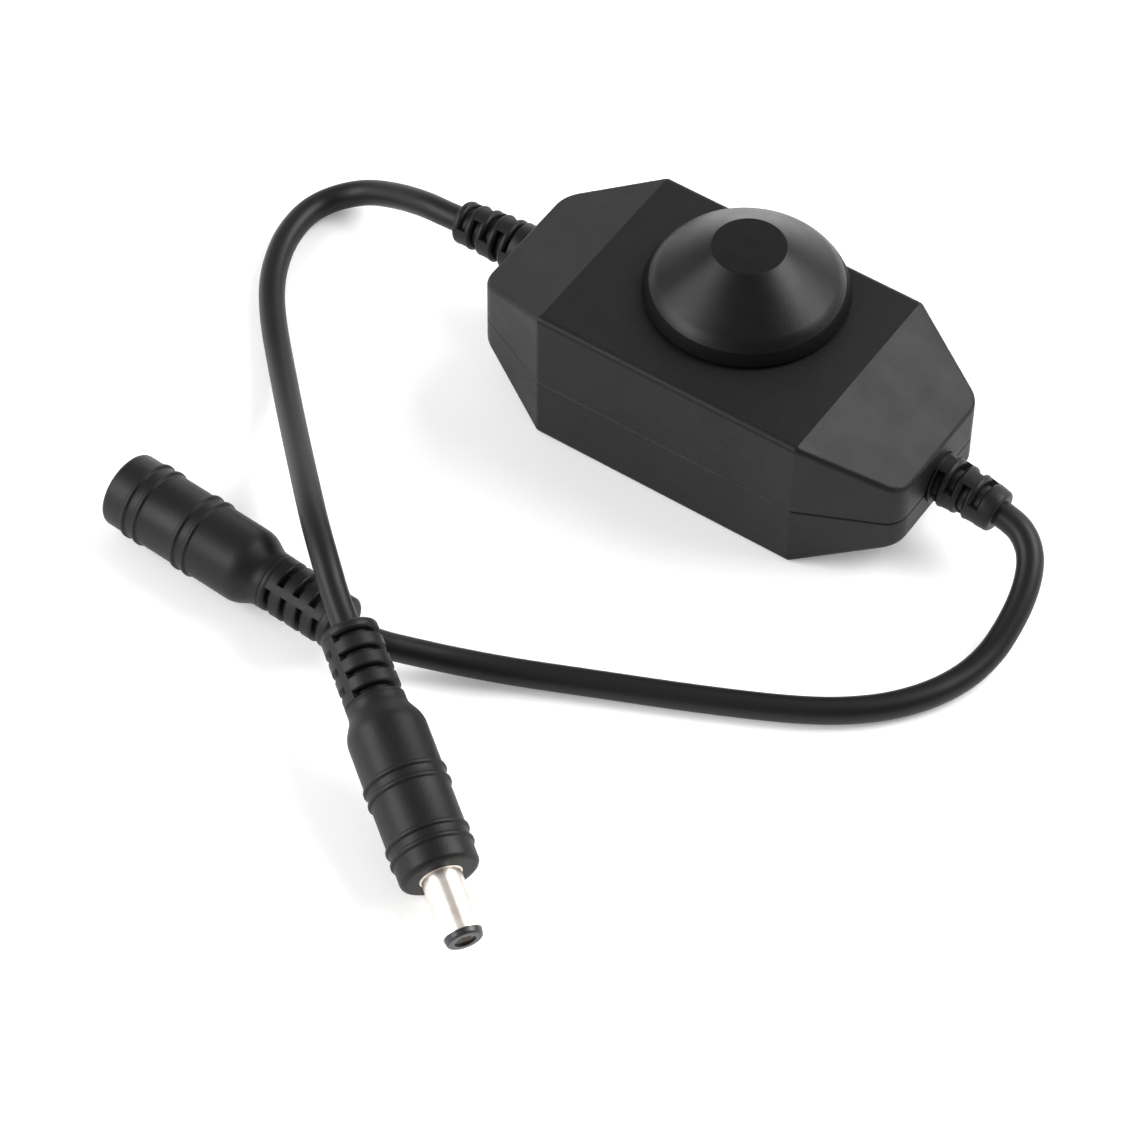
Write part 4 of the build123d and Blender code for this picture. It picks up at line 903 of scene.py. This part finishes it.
@dataclass
class Studio:
    """Pale floor, soft lights and the camera at the photograph's angle."""

    azimuth: float = 33.425
    elevation: float = 51.028
    roll: float = 0.794
    distance: float = 650.0
    across: float = -21.655
    upwards: float = -20.751
    focal_px: float = 4619.0
    frame_px: float = 1141.0

    def camera(self) -> bpy.types.Object:
        """Places the camera that the photograph was taken from."""
        a, e, r = (math.radians(v) for v in (self.azimuth, self.elevation, self.roll))
        back = Vector((math.sin(a) * math.cos(e), -math.cos(a) * math.cos(e), math.sin(e)))
        right = Vector((math.cos(a), math.sin(a), 0.0))
        up = back.cross(right)
        right, up = (
            right * math.cos(r) + up * math.sin(r),
            up * math.cos(r) - right * math.sin(r),
        )
        place = (back * self.distance + right * self.across + up * self.upwards) * MM
        data = bpy.data.cameras.new("camera")
        data.sensor_width = 36.0
        data.lens = self.focal_px / self.frame_px * data.sensor_width
        data.clip_start = 0.01
        data.clip_end = 20.0
        camera = bpy.data.objects.new("camera", data)
        camera.matrix_world = Matrix.Translation(place) @ Matrix((right, up, back)).transposed().to_4x4()
        bpy.context.scene.collection.objects.link(camera)
        bpy.context.scene.camera = camera
        return camera

    def floor(self) -> bpy.types.Object:
        """Lays the pale floor in the plane that the object stands on."""
        shape = bmesh.new()
        bmesh.ops.create_circle(shape, cap_ends=True, radius=4.0, segments=64)
        mesh = bpy.data.meshes.new("floor")
        shape.to_mesh(mesh)
        shape.free()
        made = bpy.data.materials.new("pale floor")
        made.use_nodes = True
        shader = made.node_tree.nodes["Principled BSDF"]
        shader.inputs["Base Color"].default_value = (0.93, 0.93, 0.93, 1.0)
        shader.inputs["Roughness"].default_value = 0.9
        shader.inputs["Specular IOR Level"].default_value = 0.1
        shader.inputs["Emission Color"].default_value = (1.0, 1.0, 1.0, 1.0)
        shader.inputs["Emission Strength"].default_value = 0.2
        mesh.materials.append(made)
        floor = bpy.data.objects.new("floor", mesh)
        bpy.context.scene.collection.objects.link(floor)
        return floor

    @staticmethod
    def softbox(name: str, place: Point, target: Point, size: tuple[float, float], power: float) -> None:
        """Hangs a soft rectangular light.

        Args:
            name: the light's name.
            place: where it hangs, in metres.
            target: the point it faces.
            size: its width and height in metres.
            power: its power in watts.
        """
        data = bpy.data.lights.new(name, "AREA")
        data.shape = "RECTANGLE"
        data.size, data.size_y = size
        data.energy = power
        light = bpy.data.objects.new(name, data)
        light.location = place
        aim = Vector(target) - Vector(place)
        light.rotation_euler = aim.to_track_quat("-Z", "Y").to_euler()
        bpy.context.scene.collection.objects.link(light)

    def towards(self, azimuth: float, elevation: float, distance: float) -> Point:
        """Gives a place around the object, as seen from the camera.

        Args:
            azimuth: degrees from the camera's right, positive away from the camera.
            elevation: degrees above the floor.
            distance: metres from the origin.

        Returns:
            The place in metres.
        """
        turn, rise = math.radians(azimuth + self.azimuth), math.radians(elevation)
        flat = distance * math.cos(rise)
        return (flat * math.cos(turn), flat * math.sin(turn), distance * math.sin(rise))

    def lights(self) -> None:
        """Hangs a soft box at each side of the camera, a low one behind, and the surround."""
        centre = (-0.005, -0.03, 0.01)
        self.softbox("left box", self.towards(191.0, 31.0, 1.0), centre, (0.85, 0.5), 8.5)
        self.softbox("right box", self.towards(14.0, 44.0, 1.0), centre, (0.75, 0.6), 11.8)
        self.softbox("back box", self.towards(72.0, 18.0, 1.3), centre, (1.2, 0.4), 2.0)
        world = bpy.data.worlds.new("surround")
        world.use_nodes = True
        nodes, links = world.node_tree.nodes, world.node_tree.links
        apart = nodes.new("ShaderNodeSeparateXYZ")
        direction = nodes.new("ShaderNodeTexCoord").outputs["Generated"]
        links.new(direction, apart.inputs[0])
        fade = nodes.new("ShaderNodeMapRange")
        links.new(apart.outputs["Z"], fade.inputs["Value"])
        fade.interpolation_type = "SMOOTHSTEP"
        for name, value in (("From Min", 0.1), ("From Max", 0.75), ("To Min", 0.85), ("To Max", 0.42)):
            fade.inputs[name].default_value = value
        facing = nodes.new("ShaderNodeVectorMath")
        facing.operation = "DOT_PRODUCT"
        links.new(direction, facing.inputs[0])
        facing.inputs[1].default_value = self.towards(298.0, 15.0, 1.0)
        front = nodes.new("ShaderNodeMapRange")
        front.interpolation_type = "SMOOTHSTEP"
        links.new(facing.outputs["Value"], front.inputs["Value"])
        for name, value in (("From Min", 0.55), ("From Max", 0.93), ("To Min", 1.0), ("To Max", 0.25)):
            front.inputs[name].default_value = value
        strength = nodes.new("ShaderNodeMath")
        strength.operation = "MULTIPLY"
        links.new(fade.outputs["Result"], strength.inputs[0])
        links.new(front.outputs["Result"], strength.inputs[1])
        links.new(strength.outputs[0], nodes["Background"].inputs["Strength"])
        nodes["Background"].inputs["Color"].default_value = (1.0, 1.0, 1.0, 1.0)
        bpy.context.scene.world = world
        bpy.context.scene.view_settings.view_transform = "Standard"

    def build(self) -> None:
        """Sets the whole studio up."""
        self.camera()
        self.floor()
        self.lights()


# ---- the dimmer

PLUG_PLACE = Placement(
    (14.04, -89.3, 5.21716), (0.7977719, -0.5690452, -0.1993679), (0.1623137, -0.1157767, 0.9799247)
)
JACK_PLACE = Placement((-58.8, -60.6, 5.77), (-0.9975641, 0.0697565, 0.0), (0.0, 0.0, 1.0))
UPRIGHT_PLACE = Placement((0, 0, 0), (0, 0, 1), (0, 1, 0))
LENGTHWAYS_PLACE = Placement((0, 0, 0), (1, 0, 0), (0, 0, 1))

# The routes are the CAD's, but the plug's last point goes on into its shorter tail
PLUG_ROUTE = [
    (-46.933, 3.2, 10.305),
    (-50.12, 3.2, 10.02),
    (-53.4, 3.65, 9.36),
    (-58.5, 4.6, 7.21),
    (-64.3, 5.2, 4.3),
    (-67.5, 4.1, 2.9),
    (-69.9, 1.9, 2.1),
    (-71.1, -1.1, 1.92),
    (-71.2, -4.8, 1.92),
    (-70.3, -9.4, 1.92),
    (-67.6, -15.4, 1.92),
    (-63.2, -21.2, 1.95),
    (-55.6, -29.2, 3.0),
    (-45.6, -39.8, 7.0),
    (-33.7, -52.4, 13.7),
    (-28.4, -57.8, 15.6),
    (-23.39, -62.25, 15.5),
    (-19.55, -65.34, 13.61),
    (-15.717, -68.074, 12.653),
]
JACK_ROUTE = [
    (44.113, 0.055, 10.206),
    (46.59, -0.14, 9.94),
    (48.9, -1.09, 9.3),
    (50.75, -2.75, 8.4),
    (52.0, -5.2, 7.2),
    (52.8, -8.3, 5.8),
    (53.1, -12.1, 4.2),
    (53.0, -16.2, 2.75),
    (51.9, -21.2, 1.95),
    (49.2, -27.0, 1.92),
    (44.6, -32.6, 1.92),
    (37.4, -37.9, 1.92),
    (24.6, -44.2, 1.92),
    (11.0, -50.2, 1.92),
    (1.4, -54.5, 1.93),
    (-5.9, -58.1, 2.9),
    (-10.9, -60.9, 4.3),
    (-14.4, -62.8, 5.3),
    (-17.3, -63.5, 5.77),
    (-20.095, -63.307, 5.77),
]


@dataclass
class Dimmer:
    """The whole plug-in rotary dimmer."""

    effects: Effects = field(default_factory=Effects)
    materials: dict[str, bpy.types.Material] = field(default_factory=dict)

    def mix_finishes(self) -> None:
        """Makes every finish once."""
        finishes: list[object] = [
            MouldedPlastic(
                "housing plastic", (0.0042, 0.0043, 0.0045), (0.006, 0.0061, 0.0064), 0.5,
                grain_depth=0.03 * MM, specular=0.24,
            ),
            MouldedPlastic(
                "knob plastic", (0.003, 0.0031, 0.0033), (0.0042, 0.0043, 0.0045), 0.38, grain_scale=6000.0,
                grain_depth=0.012 * MM, specular=0.23,
            ),
            # the knob plastic made darker and less glossy: painted shade for the knob's skirt
            MouldedPlastic(
                "knob skirt painted shade", (0.002, 0.002, 0.0021), (0.003, 0.003, 0.0031), 0.6, grain_scale=5000.0,
                grain_depth=0.03 * MM, specular=0.08,
            ),
            MouldedPlastic(
                "soft pvc", (0.0045, 0.0046, 0.0048), (0.0062, 0.0063, 0.0066), 0.48, grain_scale=3000.0,
                grain_depth=0.02 * MM, specular=0.26,
            ),
            MouldedPlastic("insulator", (0.012, 0.012, 0.013), (0.018, 0.018, 0.02), 0.35),
            MouldedPlastic("epoxy", (0.018, 0.018, 0.019), (0.03, 0.03, 0.032), 0.55),
            MouldedPlastic("phenolic", (0.11, 0.06, 0.03), (0.16, 0.09, 0.05), 0.5),
            MouldedPlastic("rotor plastic", (0.62, 0.6, 0.55), (0.7, 0.68, 0.63), 0.4),
            MouldedPlastic("capacitor sleeve", (0.015, 0.02, 0.07), (0.02, 0.03, 0.1), 0.25),
            MouldedPlastic("ceramic", (0.42, 0.3, 0.18), (0.5, 0.38, 0.25), 0.55),
            MouldedPlastic("dark ceramic", (0.03, 0.03, 0.033), (0.05, 0.05, 0.055), 0.5),
            MouldedPlastic("red lead", (0.4, 0.02, 0.015), (0.48, 0.04, 0.03), 0.4),
            MouldedPlastic("black lead", (0.015, 0.015, 0.016), (0.025, 0.025, 0.027), 0.4),
            CordJacket("cord jacket", (0.0045, 0.0046, 0.0048), (0.0062, 0.0063, 0.0066), 0.42),
            PlatedMetal("nickel plate", (0.95, 0.89, 0.82), (0.86, 0.79, 0.7), 0.34, PLUG_PLACE),
            PlatedMetal("contact nickel", (0.8, 0.77, 0.7), (0.7, 0.64, 0.54), 0.25, JACK_PLACE),
            PlatedMetal("contact brass", (0.75, 0.58, 0.3), (0.6, 0.42, 0.2), 0.3, JACK_PLACE),
            PlatedMetal("zinc plate", (0.62, 0.63, 0.65), (0.5, 0.5, 0.5), 0.32, UPRIGHT_PLACE),
            PlatedMetal("tin plate", (0.7, 0.7, 0.69), (0.6, 0.6, 0.58), 0.35, LENGTHWAYS_PLACE),
            BoardMask("board mask", (0.01, 0.09, 0.035), (0.03, 0.2, 0.07)),
        ]
        for finish in finishes:
            self.materials[finish.name] = finish.material(self.effects)

    def dress_nodes(self) -> None:
        """Gives every carried-over piece its finish."""
        dressed = {
            "housing plastic": ["top_shell", "bottom_shell"],
            "knob plastic": ["knob"],
            "soft pvc": ["plug_gland", "jack_gland", "plug_overmould", "jack_overmould"],
            "insulator": ["plug_insulator", "jack_insert"],
            "nickel plate": ["plug_barrel", "plug_inner_contact", "pot_cover"],
            "contact nickel": ["jack_pin", "jack_spring"],
            "contact brass": ["pot_wiper"],
            "zinc plate": ["housing_screws", "pot_washer", "pot_nut"],
            "tin plate": ["pot_terminals", "transistor_tab", "timer_chip_legs"],
            "board mask": ["circuit_board"],
            "phenolic": ["pot_case", "pot_track"],
            "rotor plastic": ["pot_shaft"],
            "epoxy": ["power_transistor", "timer_chip", "diode"],
            "capacitor sleeve": ["smoothing_capacitor"],
            "ceramic": ["ceramic_capacitors"],
            "dark ceramic": ["chip_resistors"],
            "red lead": ["plug_lead_red", "jack_lead_red"],
            "black lead": ["plug_lead_black", "jack_lead_black"],
        }
        for finish, nodes in dressed.items():
            for name in nodes:
                for slot in frame["nodes"][name].material_slots:
                    slot.material = self.materials[finish]
                LOG.info("%s: %s", name, finish)

    def build(self) -> None:
        """Builds the pieces that replace CAD nodes and dresses the rest."""
        self.mix_finishes()
        self.dress_nodes()
        soft = self.materials["soft pvc"]
        gland_relief = Relief(
            length=9.7, root_r=3.8, tip_r=3.15, core_r=2.45, flange=1.3, slot=0.85, step=1.98, count=5,
            bridges=((90.0, 270.0), (0.0, 180.0)), span=50.0,
        )
        CordGland("plug_gland_skin", Side.PLUG, 3.2, 3.0, 6.0, (-1.0, 0.0), gland_relief).build(soft)
        gland_relief = replace(gland_relief, flange=2.5, slot=0.9, step=2.05, count=4)
        CordGland("jack_gland_skin", Side.JACK, 0.5, 0.2, 9.0, (-0.8, 0.6), gland_relief).build(soft)
        tail_relief = Relief(
            length=11.3, root_r=4.1, tip_r=4.0, core_r=2.95, flange=1.55, slot=0.75, step=1.4, count=7,
            bridges=((144.0,), (324.0,)), span=196.0,
        )
        plug = MouldedConnector(
            "plug_overmould_skin", PLUG_PLACE, 22.0, (3.4, 5.3, 12.3, 14.2), 2.97, 6.0, tail_relief
        ).build(soft)
        tail_relief = replace(tail_relief, length=12.0, flange=1.9, step=1.38, bridges=((48.0,), (228.0,)))
        jack = MouldedConnector(
            "jack_overmould_skin", JACK_PLACE, 22.8, (4.0, 6.0, 12.9, 14.8), 4.32, 13.3, tail_relief
        ).build(soft)
        DialKnob().build(self.materials["knob plastic"], self.materials["knob skirt painted shade"])
        nodes = frame["nodes"]
        cord = self.materials["cord jacket"]
        on_plug = [plug, nodes["plug_barrel"], nodes["plug_insulator"], nodes["plug_inner_contact"]]
        on_jack = [jack, nodes["jack_insert"], nodes["jack_pin"], nodes["jack_spring"]]
        FreeCord("plug_cord_jacket", "plug_cord", PLUG_ROUTE, 119.46, FarEnd.PLUG).build(cord, on_plug)
        FreeCord("jack_cord_jacket", "jack_cord", JACK_ROUTE, 113.86, FarEnd.CONNECTOR).build(cord, on_jack)


def main() -> None:
    """Builds the studio and the dimmer."""
    logging.basicConfig(level=logging.INFO, format="%(name)s: %(message)s")
    Studio().build()
    Dimmer().build()


if __name__ == "__main__":
    main()
